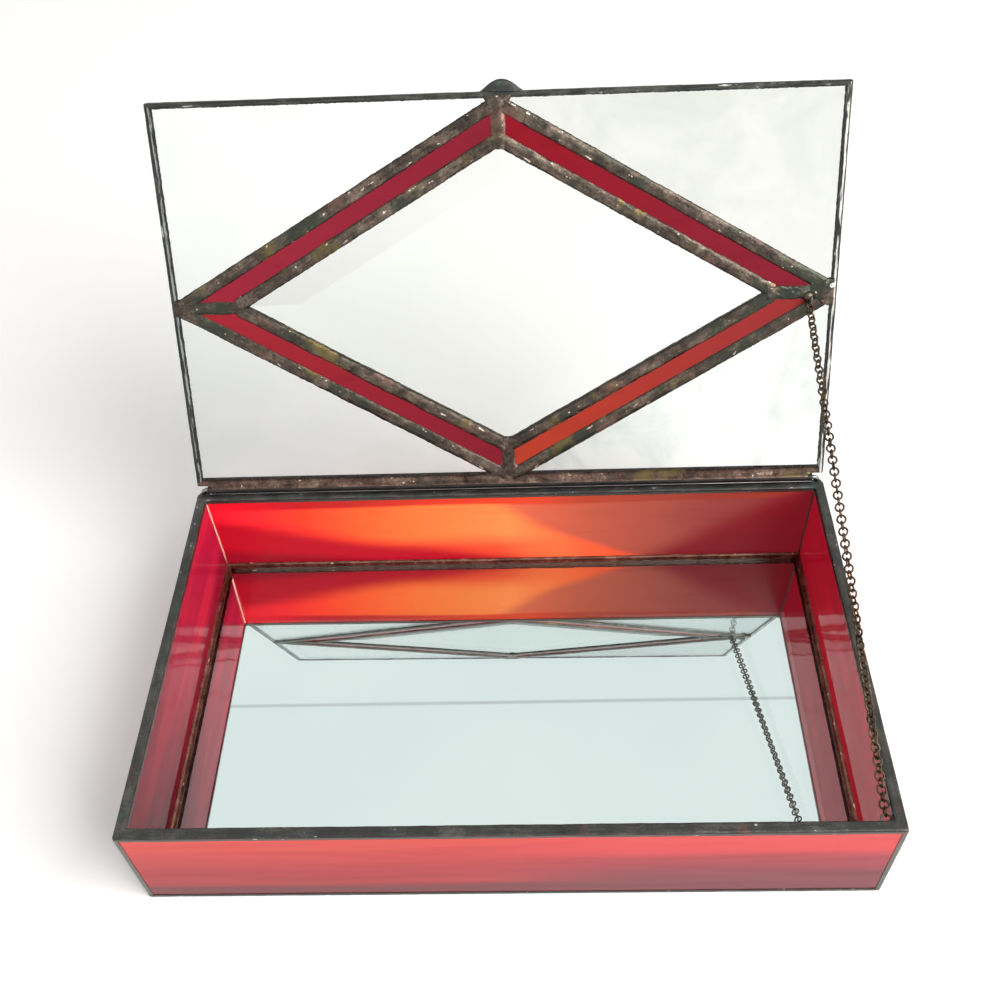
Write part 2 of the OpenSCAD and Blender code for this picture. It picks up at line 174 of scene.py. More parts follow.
def makePiece(name, shells, material, body, replaced, sharp=38):
    # puts the shells into one mesh, each (points, faces, uv per point, rise per point); sharp is in degrees
    mesh = bpy.data.meshes.new(name)
    points, faces, uvs, rises, start = [], [], [], [], 0
    for p, f, uv, rise in shells:
        points.append(p)
        faces += [[i + start for i in face] for face in f]
        uvs.append(uv)
        rises.append(rise)
        start += len(p)
    points, uvs, rises = np.concatenate(points), np.concatenate(uvs), np.concatenate(rises)
    mesh.from_pydata(points.tolist(), [], faces)
    loops = np.empty(len(mesh.loops), np.int32)
    mesh.loops.foreach_get("vertex_index", loops)
    mesh.uv_layers.new(name="surface").data.foreach_set("uv", uvs[loops].ravel())
    mesh.attributes.new("rise", "FLOAT", "POINT").data.foreach_set("value", rises.astype(np.float32))
    fresh = bmesh.new()
    fresh.from_mesh(mesh)
    bmesh.ops.recalc_face_normals(fresh, faces=fresh.faces)
    fresh.to_mesh(mesh)
    fresh.free()
    mesh.polygons.foreach_set("use_smooth", np.ones(len(mesh.polygons), bool))
    mesh.set_sharp_from_angle(angle=math.radians(sharp))
    mesh.materials.append(material)
    obj = bpy.data.objects.new(name, mesh)
    bpy.context.scene.collection.objects.link(obj)
    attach(obj, body)
    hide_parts(*replaced)
    return obj


def profileNormals(profile):
    # in the profile's own plane, at right angles to the line between each point's neighbours
    step = np.roll(profile, -1, 0) - np.roll(profile, 1, 0)
    out = np.stack([step[:, 1], -step[:, 0]], 1)
    return out / np.maximum(np.linalg.norm(out, axis=1, keepdims=True), 1e-12)


# long soft swells, short lumps and fine wrinkles: size, squeeze across the run, shift of the noise, and share
lumpKinds = [("long", 1.5, 0, 0.45), ("short", 1.4, 7, 0.4), ("fine", 1.8, 3, 0.25)]


def lumps(run, around, look, seed):
    # the sum of one noise per kind, each times its share
    return sum(share * noise(run / look[size], around / look[size] * squeeze + shift, seed + k)
               for k, (size, squeeze, shift, share) in enumerate(lumpKinds))


frayStep = 0.5 * mm  # the border of the foil jitters in and out over this length
wanderShare = 0.8  # the seam widens and narrows over this share of its long swells


def sweepShell(place, run, profile, free, look, seed, fadeEnds=0, closed=False, other=None, mix=None):
    # a profile carried along a run: place(run, across, up) gives points; free is 1 where the skin may swell
    around = np.concatenate([[0], np.cumsum(np.linalg.norm(np.diff(profile, axis=0), axis=1))])
    out = profileNormals(profile)
    if other is not None:  # blend into a second profile where mix is 1
        profile = profile + (other - profile)[None] * mix[:, None, None]
    else:
        profile = np.repeat(profile[None], len(run), 0)
    swell = lumps(run[:, None] + 0 * around, around[None] + 0 * run[:, None], look, seed)
    fade = ease(np.minimum(run - run[0], run[-1] - run) / fadeEnds) if fadeEnds else np.ones(len(run))
    rise = swell * free[None] * fade[:, None]
    wide = 1 + look["wander"] * noise(run / look["long"] / wanderShare, run * 0 + 0.5, seed + 5) * fade
    across = profile[..., 0] * wide[:, None] + out[None, :, 0] * rise * look["swell"]
    if look.get("fray"):  # the outermost points of both sides jitter in and out, each side by itself
        reach = np.abs(profile[..., 0]) > 0.9 * np.abs(profile[..., 0]).max()
        jitter = noise(run[:, None] / frayStep, np.sign(profile[..., 0]) * 3 + 9.5, seed + 8)
        across = across + reach * jitter * look["fray"] * np.sign(profile[..., 0])
    up = profile[..., 1] + out[None, :, 1] * rise * look["swell"]
    points = place(run, across, up)
    rows, cols = across.shape
    # the outer quarter on both sides counts as low ground, so that the thin borders are painted dark
    border = np.clip(np.abs(profile[..., 0]) / np.abs(profile[..., 0]).max() * 4 - 3, 0, 1)
    rise = rise - look.get("dark", 0) * border
    faces = gridFaces(rows, cols, closed).tolist()
    if not closed:
        faces += [list(range(cols)), [(rows - 1) * cols + i for i in range(cols)]]
    uv = np.stack([run[:, None] + 0 * around, around[None] + 0 * run[:, None]], -1)
    return points.reshape(-1, 3), faces, uv.reshape(-1, 2), rise.ravel()


overRim = {"inside": 0.6 * mm, "gap": 0.25 * mm}


def clearOfRim(p):
    # a point of the closed lid that lies over the rim stays a hair above it
    inside, gap = overRim["inside"], overRim["gap"]
    over = (np.abs(p[..., 0]) > inW - inside) | (np.abs(p[..., 1]) > inD - inside)
    z = np.where(over, np.maximum(p[..., 2], rimTop + gap), p[..., 2])
    return np.stack([p[..., 0], p[..., 1], z], -1)


def roundCorners(p):
    # seen from above, the closed lid's outer corners are pulled in to arcs that still cover the glass
    centre = (edgeLow + edgeHigh)[:2] / 2
    half = (edgeHigh - edgeLow)[:2] / 2 + edge["proud"]
    q = p[..., :2] - centre
    past = np.maximum(np.abs(q) - (half - edge["round"]), 0)
    far = np.linalg.norm(past, axis=-1, keepdims=True)
    pulled = np.minimum(edge["round"] / np.maximum(far, 1e-9), 1)
    past = past * np.where(past.min(-1, keepdims=True) > 0, pulled, 1)
    q = np.sign(q) * (np.minimum(np.abs(q), half - edge["round"]) + past)
    return np.concatenate([q + centre, p[..., 2:]], -1)


def straightPlace(start, end, sideways, upward, mitreStart=0, mitreEnd=0, turned=False, shape=None):
    # along the line from start to end, each end cut back by its mitre times the distance across
    start, end = np.array(start, float), np.array(end, float)
    length = np.linalg.norm(end - start)
    ahead = (end - start) / length

    def place(run, across, up):
        share = (run / length)[:, None]
        along = run[:, None] + across * (mitreStart * (1 - share) + mitreEnd * share)
        p = start + along[..., None] * ahead + across[..., None] * np.array(sideways, float)
        p = p + up[..., None] * np.array(upward, float)
        p = shape(p) if shape else p
        return openLid(p) if turned else p
    return place, length


def ringPlace(halfX, halfY, z, roundOut):
    # round a rectangle that grows with the distance across; its outer corners are eased into arcs
    corners = np.array([[-1, -1], [1, -1], [1, 1], [-1, 1], [-1, -1]], float)
    sides = np.array([2 * halfX, 2 * halfY, 2 * halfX, 2 * halfY])
    ends = np.concatenate([[0], np.cumsum(sides)])

    def place(run, across, up):
        side = np.clip(np.searchsorted(ends, run, "right") - 1, 0, 3)
        share = ((run - ends[side]) / sides[side])[:, None, None]
        corner = corners[side] * (1 - share[..., 0]) + corners[side + 1] * share[..., 0]
        half = np.stack([halfX + across, halfY + across], -1)
        p = corner[:, None, :] * half
        inner = half - roundOut
        past = np.maximum(np.abs(p) - inner, 0)
        both = np.minimum(past[..., 0], past[..., 1]) > 0
        squeeze = np.where(both, past.max(-1) / np.maximum(np.linalg.norm(past, axis=-1), 1e-9), 1)
        q = np.sign(p) * (np.minimum(np.abs(p), inner) + past * squeeze[..., None])
        return np.concatenate([q, (z + up)[..., None]], -1)
    return place, ends


def ringRun(ends, step):
    # evenly spaced stations on each side, with every corner among them once
    parts = [np.linspace(a, b, max(int((b - a) / step), 2), endpoint=False) for a, b in zip(ends, ends[1:])]
    return np.concatenate(parts)


# materials

def joined(name):
    # front_left becomes FrontLeft
    return name.title().replace("_", "")


def newMaterial(name):
    mat = bpy.data.materials.new(name)
    mat.use_nodes = True
    return mat, mat.node_tree, mat.node_tree.nodes["Principled BSDF"]


def srgb(r, g, b):
    # screen values from 0 to 255, as the linear colour that a shader takes
    c = np.array([r, g, b]) / 255
    return (*np.where(c <= 0.04045, c / 12.92, ((c + 0.055) / 1.055) ** 2.4), 1)


def noiseNode(tree, source, scale, detail=4, rough=0.55, stretch=(1, 1, 1), shift=(0, 0, 0), warp=0):
    mapping = tree.nodes.new("ShaderNodeMapping")
    mapping.inputs["Scale"].default_value = stretch
    mapping.inputs["Location"].default_value = shift
    tree.links.new(source, mapping.inputs["Vector"])
    tex = tree.nodes.new("ShaderNodeTexNoise")
    tex.inputs["Scale"].default_value = scale
    tex.inputs["Detail"].default_value = detail
    tex.inputs["Roughness"].default_value = rough
    tex.inputs["Distortion"].default_value = warp
    tree.links.new(mapping.outputs["Vector"], tex.inputs["Vector"])
    return tex.outputs["Fac"]


def rampNode(tree, source, stops):
    # a colour with three values is in screen values, and one with four is linear
    ramp = tree.nodes.new("ShaderNodeValToRGB")
    band = ramp.color_ramp
    while len(band.elements) < len(stops):
        band.elements.new(0.5)
    for element, (at, colour) in zip(band.elements, stops):
        element.position = at
        element.color = colour if len(colour) == 4 else srgb(*colour)
    tree.links.new(source, ramp.inputs["Fac"])
    return ramp.outputs["Color"]


def mixNode(tree, share, first, second, how="MIX"):
    # each of the three is a socket or a constant; a colour with three values is in screen values
    mix = tree.nodes.new("ShaderNodeMix")
    mix.data_type = "RGBA"
    mix.blend_type = how
    for value, socket in ((share, mix.inputs[0]), (first, mix.inputs[6]), (second, mix.inputs[7])):
        if isinstance(value, bpy.types.NodeSocket):
            tree.links.new(value, socket)
        else:
            socket.default_value = srgb(*value) if np.size(value) == 3 else value
    return mix.outputs[2]


def mathNode(tree, how, first, second=0.5):
    node = tree.nodes.new("ShaderNodeMath")
    node.operation = how
    for value, socket in ((first, node.inputs[0]), (second, node.inputs[1])):
        if isinstance(value, bpy.types.NodeSocket):
            tree.links.new(value, socket)
        else:
            socket.default_value = value
    return node.outputs[0]


def spanNode(tree, source, low, high, toLow=0.0, toHigh=1.0):
    node = tree.nodes.new("ShaderNodeMapRange")
    node.interpolation_type = "SMOOTHSTEP"
    tree.links.new(source, node.inputs["Value"])
    node.inputs["From Min"].default_value = low
    node.inputs["From Max"].default_value = high
    node.inputs["To Min"].default_value = toLow
    node.inputs["To Max"].default_value = toHigh
    return node.outputs["Result"]


def bumpNode(tree, height, distance):
    bump = tree.nodes.new("ShaderNodeBump")
    bump.inputs["Strength"].default_value = 1.0
    bump.inputs["Distance"].default_value = distance
    tree.links.new(height, bump.inputs["Height"])
    return bump.outputs["Normal"]


def objectPlace(tree):
    return tree.nodes.new("ShaderNodeTexCoord").outputs["Object"]


def splitNode(tree, vector):
    node = tree.nodes.new("ShaderNodeSeparateXYZ")
    tree.links.new(vector, node.inputs[0])
    return node.outputs


def weighted(tree, parts, offset):
    # the sum of sockets times their weights, plus an offset
    total = offset
    for socket, weight in parts:
        node = tree.nodes.new("ShaderNodeMath")
        node.operation = "MULTIPLY_ADD"
        tree.links.new(socket, node.inputs[0])
        node.inputs[1].default_value = weight
        if isinstance(total, bpy.types.NodeSocket):
            tree.links.new(total, node.inputs[2])
        else:
            node.inputs[2].default_value = total
        total = node.outputs[0]
    return total


def solderMaterial(name, tones, tints, look):
    # mottled patina: faint streaks along the seam, ridges worn light, stains, and painted glints, pale flecks
    # that stand in for highlights
    mat, tree, shader = newMaterial(name)
    where = objectPlace(tree)
    own = tree.nodes.new("ShaderNodeUVMap")
    own.uv_map = "surface"
    surface = own.outputs["UV"]
    rise = tree.nodes.new("ShaderNodeAttribute")
    rise.attribute_name = "rise"
    streak = noiseNode(tree, surface, look["streakScale"], 4, 0.6, (look["streak"], 1, 1), warp=0.3)
    blotch = noiseNode(tree, where, look["blotch"], 6, 0.65, warp=0.5)
    grain = noiseNode(tree, where, look["grain"], 4, 0.7)
    swing = look["streaky"] + look["patchy"] + look["grainy"]
    tone = weighted(tree, [(streak, look["streaky"]), (blotch, look["patchy"]), (grain, look["grainy"]),
                           (rise.outputs["Fac"], look["ridge"])], 0.5 - 0.5 * swing)
    colour = rampNode(tree, tone, list(zip(look["stops"], tones)))
    for tint, scale, shift, start, share in tints:
        stain = noiseNode(tree, where, scale, 4, 0.6, shift=(shift, shift * 2, 0))
        stain = spanNode(tree, stain, start, start + look["stainSoft"], 0, share)
        colour = mixNode(tree, stain, colour, tint)
    if "litFlangeTop" in look:  # painted highlight: the foil below the crown of a rim is painted paler, where it faces the bright floor
        z, uneven = splitNode(tree, where)["Z"], look["litFlangeUneven"]
        height = weighted(tree, [(z, toMm), (blotch, uneven)], -0.5 * uneven)
        foil = spanNode(tree, height, look["litFlangeTop"] + look["litFlangeSoft"], look["litFlangeTop"] - look["litFlangeSoft"])
        colour = mixNode(tree, foil, colour, look["litFlangeTone"])
    if "line" in look:  # a painted highlight: a bright line, so many mm in from the foil's border, that comes and goes, where the foil's round face would catch the light
        across, uneven = splitNode(tree, surface)["Y"], look["lineUneven"]
        off = weighted(tree, [(across, toMm), (blotch, uneven)], -0.5 * uneven - look["line"])
        off = mathNode(tree, "ABSOLUTE", off)
        paintedHighlight = spanNode(tree, off, look["lineHalf"] + look["lineSoft"], look["lineHalf"] - look["lineSoft"])
        gaps = spanNode(tree, streak, *look["lineGaps"], 0, look["lineShare"])
        paintedHighlight = mathNode(tree, "MULTIPLY", paintedHighlight, gaps)
        colour = mixNode(tree, paintedHighlight, colour, look["lineTone"])
    # painted glints: pale flecks and dashes painted into the colour where highlights would catch the solder
    paintedGlint = noiseNode(tree, surface, look["paintedGlintScale"], 2, 0.5, (look["dash"], 1, 1), (3.3, 1.7, 0))
    patchy = look["paintedGlintPatchy"]
    paintedGlint = weighted(tree, [(paintedGlint, 1), (blotch, patchy), (rise.outputs["Fac"], look["paintedGlintRise"])],
                     -0.5 * patchy)
    bright = spanNode(tree, paintedGlint, look["paintedGlint"], look["paintedGlint"] + look["paintedGlintSoft"])
    colour = mixNode(tree, bright, colour, look["paintedGlintTone"])
    tree.links.new(colour, shader.inputs["Base Color"])
    shader.inputs["Metallic"].default_value = look["metal"]
    rough = weighted(tree, [(streak, look["roughSwing"]), (blotch, look["roughSwing"])],
                     look["rough"] - look["roughSwing"])
    tree.links.new(rough, shader.inputs["Roughness"])
    relief = weighted(tree, zip((grain, streak, blotch), look["relief"]), 0.0)
    tree.links.new(bumpNode(tree, relief, look["bump"] * mm), shader.inputs["Normal"])
    return mat


# what all solders share: where their three tones stand, how soft each border is, and the parts of the relief
patina = {"stops": (0.2, 0.5, 0.85), "stainSoft": 0.1, "litFlangeSoft": 0.15, "litFlangeUneven": 1.2, "lineSoft": 0.12,
          "lineUneven": 0.9, "lineGaps": (0.42, 0.53), "dash": 0.4, "paintedGlintSoft": 0.03, "paintedGlintPatchy": 0.3,
          "paintedGlintRise": 0.03, "metal": 0.85, "relief": (0.5, 0.6, 1.2)}
# scales count noise features per metre; the shares say how much each noise moves the tone
darkLook = {**patina, "streakScale": 1100, "streak": 0.08, "streaky": 0.4, "patchy": 0.45, "grainy": 0.4,
            "ridge": 0.12, "blotch": 160, "grain": 1500, "paintedGlintScale": 700, "paintedGlint": 0.72,
            "paintedGlintTone": (190, 196, 190), "rough": 0.36, "roughSwing": 0.25, "bump": 0.07}
brownLook = {**patina, "streakScale": 1000, "streak": 0.12, "streaky": 0.45, "patchy": 0.85, "grainy": 0.7,
             "ridge": 0.22, "blotch": 230, "grain": 1400, "paintedGlintScale": 650, "paintedGlint": 0.685,
             "paintedGlintTone": (232, 214, 200), "rough": 0.32, "roughSwing": 0.3, "bump": 0.16}

# each stain: tone, scale, shift of its noise, the noise value where it starts, and its share
teal, rust, olive, moss = (62, 96, 92), (120, 80, 70), (128, 112, 66), (58, 66, 56)
darkStains = [(teal, 60, 3.1, 0.60, 0.5), (rust, 45, 7.7, 0.62, 0.45)]
brownStains = [((66, 84, 92), 90, 1.3, 0.62, 0.7), (olive, 50, 5.2, 0.58, 0.5), (moss, 60, 9.4, 0.56, 0.6)]
seamStains = [(moss, 42, 2.4, 0.50, 0.8), (olive, 60, 8.6, 0.58, 0.6), ((140, 104, 92), 55, 6.2, 0.58, 0.5)]

# dark, middle and light tone of each solder
# the rim's foil below its crown is painted paler, a painted highlight where it faces the bright floor
rimSolder = solderMaterial("rimSolder", ((46, 47, 46), (70, 70, 68), (122, 119, 112)), darkStains,
                           {**darkLook, "litFlangeTop": (wallTop + 0.25 * mm) / mm, "litFlangeTone": (100, 92, 86)})
darkSolder = solderMaterial("darkSolder", ((40, 42, 41), (62, 64, 62), (112, 112, 106)), darkStains,
                            {**darkLook, "paintedGlint": 0.69})
paleSolder = solderMaterial("paleSolder", ((70, 74, 68), (102, 106, 98), (150, 150, 140)),
                            [(teal, 60, 4.1, 0.62, 0.4)], darkLook)
tanSolder = solderMaterial("tanSolder", ((104, 66, 58), (146, 94, 82), (184, 134, 118)), [], darkLook)
duskSolder = solderMaterial("duskSolder", ((44, 32, 32), (62, 42, 42), (96, 74, 70)), [], darkLook)
brownSolder = solderMaterial("brownSolder", ((52, 40, 36), (98, 78, 68), (160, 134, 118)), brownStains,
                             brownLook)
seamSolder = solderMaterial("seamSolder", ((47, 42, 38), (87, 76, 68), (146, 130, 115)), seamStains,
                            brownLook)
floorBrown = solderMaterial("floorBrown", ((72, 46, 40), (120, 82, 70), (170, 132, 114)), [], brownLook)
tubeSolder = solderMaterial("tubeSolder", ((36, 35, 36), (56, 54, 53), (100, 94, 89)), [],
                            {**darkLook, "rough": 0.5, "paintedGlint": 0.75})
edgeTones = ((38, 40, 39), (60, 62, 60), (112, 112, 106))
edgeLook = {**darkLook, "paintedGlintScale": 900, "dash": 0.12, "paintedGlint": 0.68}
# the painted highlight line on each edge: its distance from the foil's border and half its width in mm, share
# and tone
edgeHighlights = {
    "front": {"line": 0.9, "lineHalf": 0.2, "lineShare": 0.25, "lineTone": (120, 118, 112)},
    "left": {"line": 0.45, "lineHalf": 0.35, "lineShare": 0.8, "lineTone": (176, 182, 180)},
    "right": {"line": 0.95, "lineHalf": 0.35, "lineShare": 0.95, "lineTone": (238, 232, 224)},
}
edgeSolder = {side: solderMaterial("edgeSolder" + side.title(), edgeTones, [], {**edgeLook, **line})
              for side, line in edgeHighlights.items()}


glassIndex = 1.5


def glassCoat(shader, rough, index, through=0.0):
    shader.inputs["Roughness"].default_value = rough
    shader.inputs["IOR"].default_value = index
    shader.inputs["Transmission Weight"].default_value = through


def plainSheet(tree, parts, streak, look):
    # tones that follow the slow streaks alone
    return rampNode(tree, streak, look["tones"])


def backSheet(tree, parts, streak, look):
    # the back pane runs from red on the left through orange to painted shadow on the right: salmon, then dark
    # crimson
    half = look["half"]
    x = weighted(tree, [(parts["X"], toMm)], 0.0)
    z = weighted(tree, [(parts["Z"], toMm), (streak, look["wobble"])], -0.5 * look["wobble"])
    along = spanNode(tree, x, -half, half)
    along.node.interpolation_type = "LINEAR"

    def tonesAlong(key):
        return rampNode(tree, along, [((at + half) / (2 * half), tone) for at, tone in look[key]])

    def patch(colour, p):
        # the patch's tone takes over where a sum of x and z, each times its lean, passes the border
        slant = weighted(tree, [(x, p["lean"][0]), (z, p["lean"][1])], p["shift"])
        share = spanNode(tree, slant, *p["border"], 0, p.get("most", 1))
        return mixNode(tree, share, colour, p["tone"]), slant
    colour = tonesAlong("along")
    # low down the orange sinks into a deeper red, more so left of the middle
    sink = look["sink"]
    share = mathNode(tree, "MULTIPLY", spanNode(tree, z, *sink["heights"], 0, 1),
                     spanNode(tree, x, *sink["across"], *sink["shares"]))
    colour = mixNode(tree, share, colour, sink["tone"])
    # the salmon painted shadow's border bows: its x grows with the depth below the rim and with that depth's
    # square
    bow = look["bow"]
    down = mathNode(tree, "MAXIMUM", weighted(tree, [(z, -1)], bow["top"]), 0.0)
    bowed = mathNode(tree, "MULTIPLY", down, weighted(tree, [(down, bow["square"])], bow["slope"]))
    salmonShadow = spanNode(tree, weighted(tree, [(x, 1), (bowed, -1)], bow["shift"]), *bow["border"])
    colour = mixNode(tree, salmonShadow, colour, tonesAlong("salmonShadow"))
    # painted shadow: dark crimson takes over the lower right
    colour, rightward = patch(colour, look["crimson"])
    top = mathNode(tree, "MULTIPLY", spanNode(tree, z, *look["topEdge"]),
                   spanNode(tree, rightward, *look["topFade"], 0, 1))
    colour = mixNode(tree, top, colour, tonesAlong("top"))
    colour, _ = patch(colour, look["wedge"])
    colour, _ = patch(colour, look["deep"])
    return colour


def frontSheet(tree, parts, streak, look):
    # the front pane is coral at the top and mauve towards the table, and the mauve climbs to the right
    z = weighted(tree, [(parts["Z"], toMm), (streak, look["wobble"])], -0.5 * look["wobble"])
    level = spanNode(tree, z, 0, look["height"])
    level.node.interpolation_type = "LINEAR"
    left, right = (rampNode(tree, level, [(at / look["height"], tone) for at, tone in look[side]])
                   for side in ("left", "right"))
    return mixNode(tree, spanNode(tree, parts["X"], *look["climb"]), left, right)


def stripSheet(tree, parts, streak, look):
    # one tone near the lid's sides and another near its middle, which blend along X
    x = weighted(tree, [(parts["X"], toMm), (streak, look["wobble"])], -0.5 * look["wobble"])
    return mixNode(tree, spanNode(tree, x, *look["from"]), look["side"], look["centre"])


def opalMaterial(name, paint, look):
    # the sheet's own painting, crossed by darker and paler ribbons drawn out along it; it also emits its own
    # colour, a painted glow that stands in for light shining through it
    mat, tree, shader = newMaterial(name)
    where = objectPlace(tree)
    parts = splitNode(tree, where)
    streak = noiseNode(tree, where, look["slow"], 3, 0.5, look["stretch"], look["shift"], warp=0.5)
    ribbon = noiseNode(tree, where, look["ribbon"], 4, 0.5, look["stretch"], look["shift"], warp=0.5)
    colour = paint(tree, parts, streak, look)
    ribbons = rampNode(tree, ribbon, [(0.3, look["ribbonDark"]), (0.52, (0.5, 0.5, 0.5, 1)),
                                      (0.75, look["ribbonPale"])])
    colour = mixNode(tree, look["ribbonShare"], colour, ribbons, "OVERLAY")
    tree.links.new(colour, shader.inputs["Base Color"])
    # painted glow: the colour is emitted, standing in for light that comes through the opal glass
    tree.links.new(colour, shader.inputs["Emission Color"])
    shader.inputs["Emission Strength"].default_value = look["paintedGlow"]
    shade = look.get("shade")
    if shade:  # darker towards one end, and low down
        far = spanNode(tree, parts["Y"], *shade["along"], shade["least"], 1)
        low = spanNode(tree, parts["Z"], *shade["up"], shade["low"], 1)
        dim = mathNode(tree, "MULTIPLY", far, low)
        mixed = mixNode(tree, dim, (0, 0, 0, 1), colour)
        tree.links.new(mixed, shader.inputs["Base Color"])
        tree.links.new(mixed, shader.inputs["Emission Color"])
    glassCoat(shader, look["rough"], look["index"])
    ripple = noiseNode(tree, where, look["ripple"], 2, 0.4)
    tree.links.new(bumpNode(tree, ripple, look["wave"] * mm), shader.inputs["Normal"])
    return mat


opal = {"rough": 0.05, "index": 1.2, "ripple": 55, "wave": 0.16, "slow": 60, "ribbon": 170}
alongX, alongY = (0.14, 1, 1), (1, 0.14, 1)

# places and borders on the two long panes are in mm
opalBack = opalMaterial("opalBack", backSheet, {
    **opal, "rough": 0.3, "stretch": alongX, "shift": (0.3, 0, 0.1), "ribbonShare": 0.12, "paintedGlow": 0.55,
    "wobble": 7, "ribbonDark": (90, 70, 80), "ribbonPale": (170, 160, 150), "half": 111,
    "along": [(-111, (220, 24, 48)), (-92, (244, 44, 48)), (-76, (255, 66, 43)), (-55, (255, 97, 50)),
              (-30, (255, 120, 60)), (0, (255, 137, 76)), (30, (246, 100, 58)), (60, (232, 80, 52))],
    "sink": {"tone": (226, 58, 40), "heights": (20, 11), "across": (22, -8), "shares": (0.2, 0.85)},
    "bow": {"top": 36, "square": 0.036, "slope": 0.52, "shift": 3, "border": (-5, 7)},
    "salmonShadow": [(5, (214, 100, 72)), (17, (204, 93, 68)), (32, (184, 85, 66)), (46, (172, 79, 64)),
               (61, (158, 73, 63)), (75, (146, 62, 58)), (100, (130, 52, 54))],
    "crimson": {"tone": (130, 26, 36), "lean": (1, -1.42), "shift": -50, "border": (-13, 9)},
    "topEdge": (34.6, 36.2), "topFade": (4, -10),
    "top": [(-100, (222, 22, 42)), (-80, (194, 28, 38)), (-60, (188, 40, 38)), (-10, (230, 66, 40)),
            (8, (224, 68, 42)), (28, (177, 66, 46)), (55, (158, 61, 50)), (85, (150, 54, 43))],
    "wedge": {"tone": (178, 13, 34), "lean": (-0.2, -1), "shift": 5.5, "border": (-5, 4.5)},
    "deep": {"tone": (134, 10, 30), "lean": (-0.12, -1), "shift": -1, "border": (-3.5, 3), "most": 0.8}})
opalFront = opalMaterial("opalFront", frontSheet, {
    **opal, "stretch": (0.09, 1, 1), "shift": (0, 0, 0.4), "ribbonShare": 0.22, "paintedGlow": 0.2, "wobble": 14,
    "height": 40, "climb": (-20 * mm, 45 * mm), "ribbonDark": (100, 84, 96), "ribbonPale": (160, 150, 144),
    "left": [(0, (122, 64, 68)), (6, (122, 64, 68)), (8.5, (178, 66, 70)), (18, (174, 62, 68)),
             (26, (190, 67, 69)), (33, (208, 77, 73)), (40, (218, 82, 76))],
    "right": [(0, (128, 70, 76)), (12, (134, 70, 76)), (18, (160, 69, 76)), (24, (174, 69, 76)),
              (29, (214, 77, 80)), (34, (218, 79, 81)), (40, (218, 82, 81))]})
opalLeft = opalMaterial("opalLeft", plainSheet, {
    **opal, "stretch": alongY, "shift": (0, 0.2, 0), "ribbonShare": 0.25, "paintedGlow": 0.26, "slow": 80,
    "tones": [(0.3, (156, 20, 54)), (0.48, (170, 23, 57)), (0.6, (186, 30, 58))],
    "shade": {"along": (-70 * mm, 45 * mm), "least": 0.34, "up": (8 * mm, 18 * mm), "low": 0.55},
    "ribbonDark": (110, 90, 100), "ribbonPale": (160, 145, 148)})
opalRight = opalMaterial("opalRight", plainSheet, {
    **opal, "index": 1.16, "stretch": alongY, "shift": (0, 0.6, 0.3), "ribbonShare": 0.2, "paintedGlow": 0.22,
    "slow": 80,
    "tones": [(0.3, (190, 24, 50)), (0.5, (204, 26, 54)), (0.7, (218, 28, 56))],
    "ribbonDark": (115, 100, 105), "ribbonPale": (150, 138, 142)})


# from is where along X, in mm, the side's tone ends and where the centre's begins
stripTones = {
    "front_left": {"from": (-100, 0), "side": (146, 34, 52), "centre": (130, 28, 46)},
    "front_right": {"from": (100, 0), "side": (128, 28, 44), "centre": (138, 15, 32)},
    "back_left": {"from": (-100, 0), "side": (152, 34, 46), "centre": (132, 25, 42)},
    "back_right": {"from": (90, 6), "side": (148, 46, 46), "centre": (174, 56, 38)},
}


def clearMaterial(name, look):
    # near-colourless sheet glass, its far face chipped into soft ferns that veil it a little
    mat, tree, shader = newMaterial(name)
    where = objectPlace(tree)
    fern = noiseNode(tree, where, look["scale"], 6, 0.62, look["stretch"], look["shift"], look["warp"])
    veil = rampNode(tree, fern, [(look["from"], look["veil"]), (look["to"], look["clear"])])
    tree.links.new(veil, shader.inputs["Base Color"])
    glassCoat(shader, look["rough"], glassIndex, 1.0)
    tree.links.new(bumpNode(tree, fern, look["bump"] * mm), shader.inputs["Normal"])
    return mat


chipped = {"scale": 30, "stretch": (1, 1, 1), "warp": 1.0, "from": 0.34, "to": 0.62, "rough": 0.03,
           "clear": (246, 250, 248), "bump": 0.05}
paneLooks = {
    "front_left": {"veil": (246, 250, 248), "clear": (252, 254, 253), "shift": (0.2, 0.1, 0), "bump": 0.03},
    "front_right": {"veil": (222, 225, 221), "clear": (236, 238, 235), "shift": (0.9, 0.4, 0)},
    "back_left": {"veil": (243, 248, 245), "clear": (255, 255, 255), "shift": (0.5, 0.7, 0), "scale": 50,
                  "stretch": (0.6, 1, 1)},
    "back_right": {"veil": (222, 229, 226), "shift": (1.6, 0.3, 0), "scale": 45},
}
chippedGlass = {corner: clearMaterial("chipped" + joined(corner), {**chipped, **look})
                for corner, look in paneLooks.items()}


def bevelMaterial(look):
    # polished clear glass with painted shading: each ground facet bends the light its own way, so each is
    # painted its own faint tone
    mat, tree, shader = newMaterial("bevelGlass")
    facet = tree.nodes.new("ShaderNodeAttribute")
    facet.attribute_name = "facet"
    tone = rampNode(tree, facet.outputs["Fac"], look["facetShades"])
    tone.node.color_ramp.interpolation = "CONSTANT"
    tree.links.new(tone, shader.inputs["Base Color"])
    glassCoat(shader, 0.0, glassIndex, 1.0)
    return mat


bevelGlass = bevelMaterial({"facetShades": [
    (0.0, (243, 246, 242)), (0.1, (232, 233, 231)), (0.3, (241, 243, 240)), (0.5, (246, 249, 245)),
    (0.7, (240, 244, 240)), (0.9, (226, 232, 230))]})


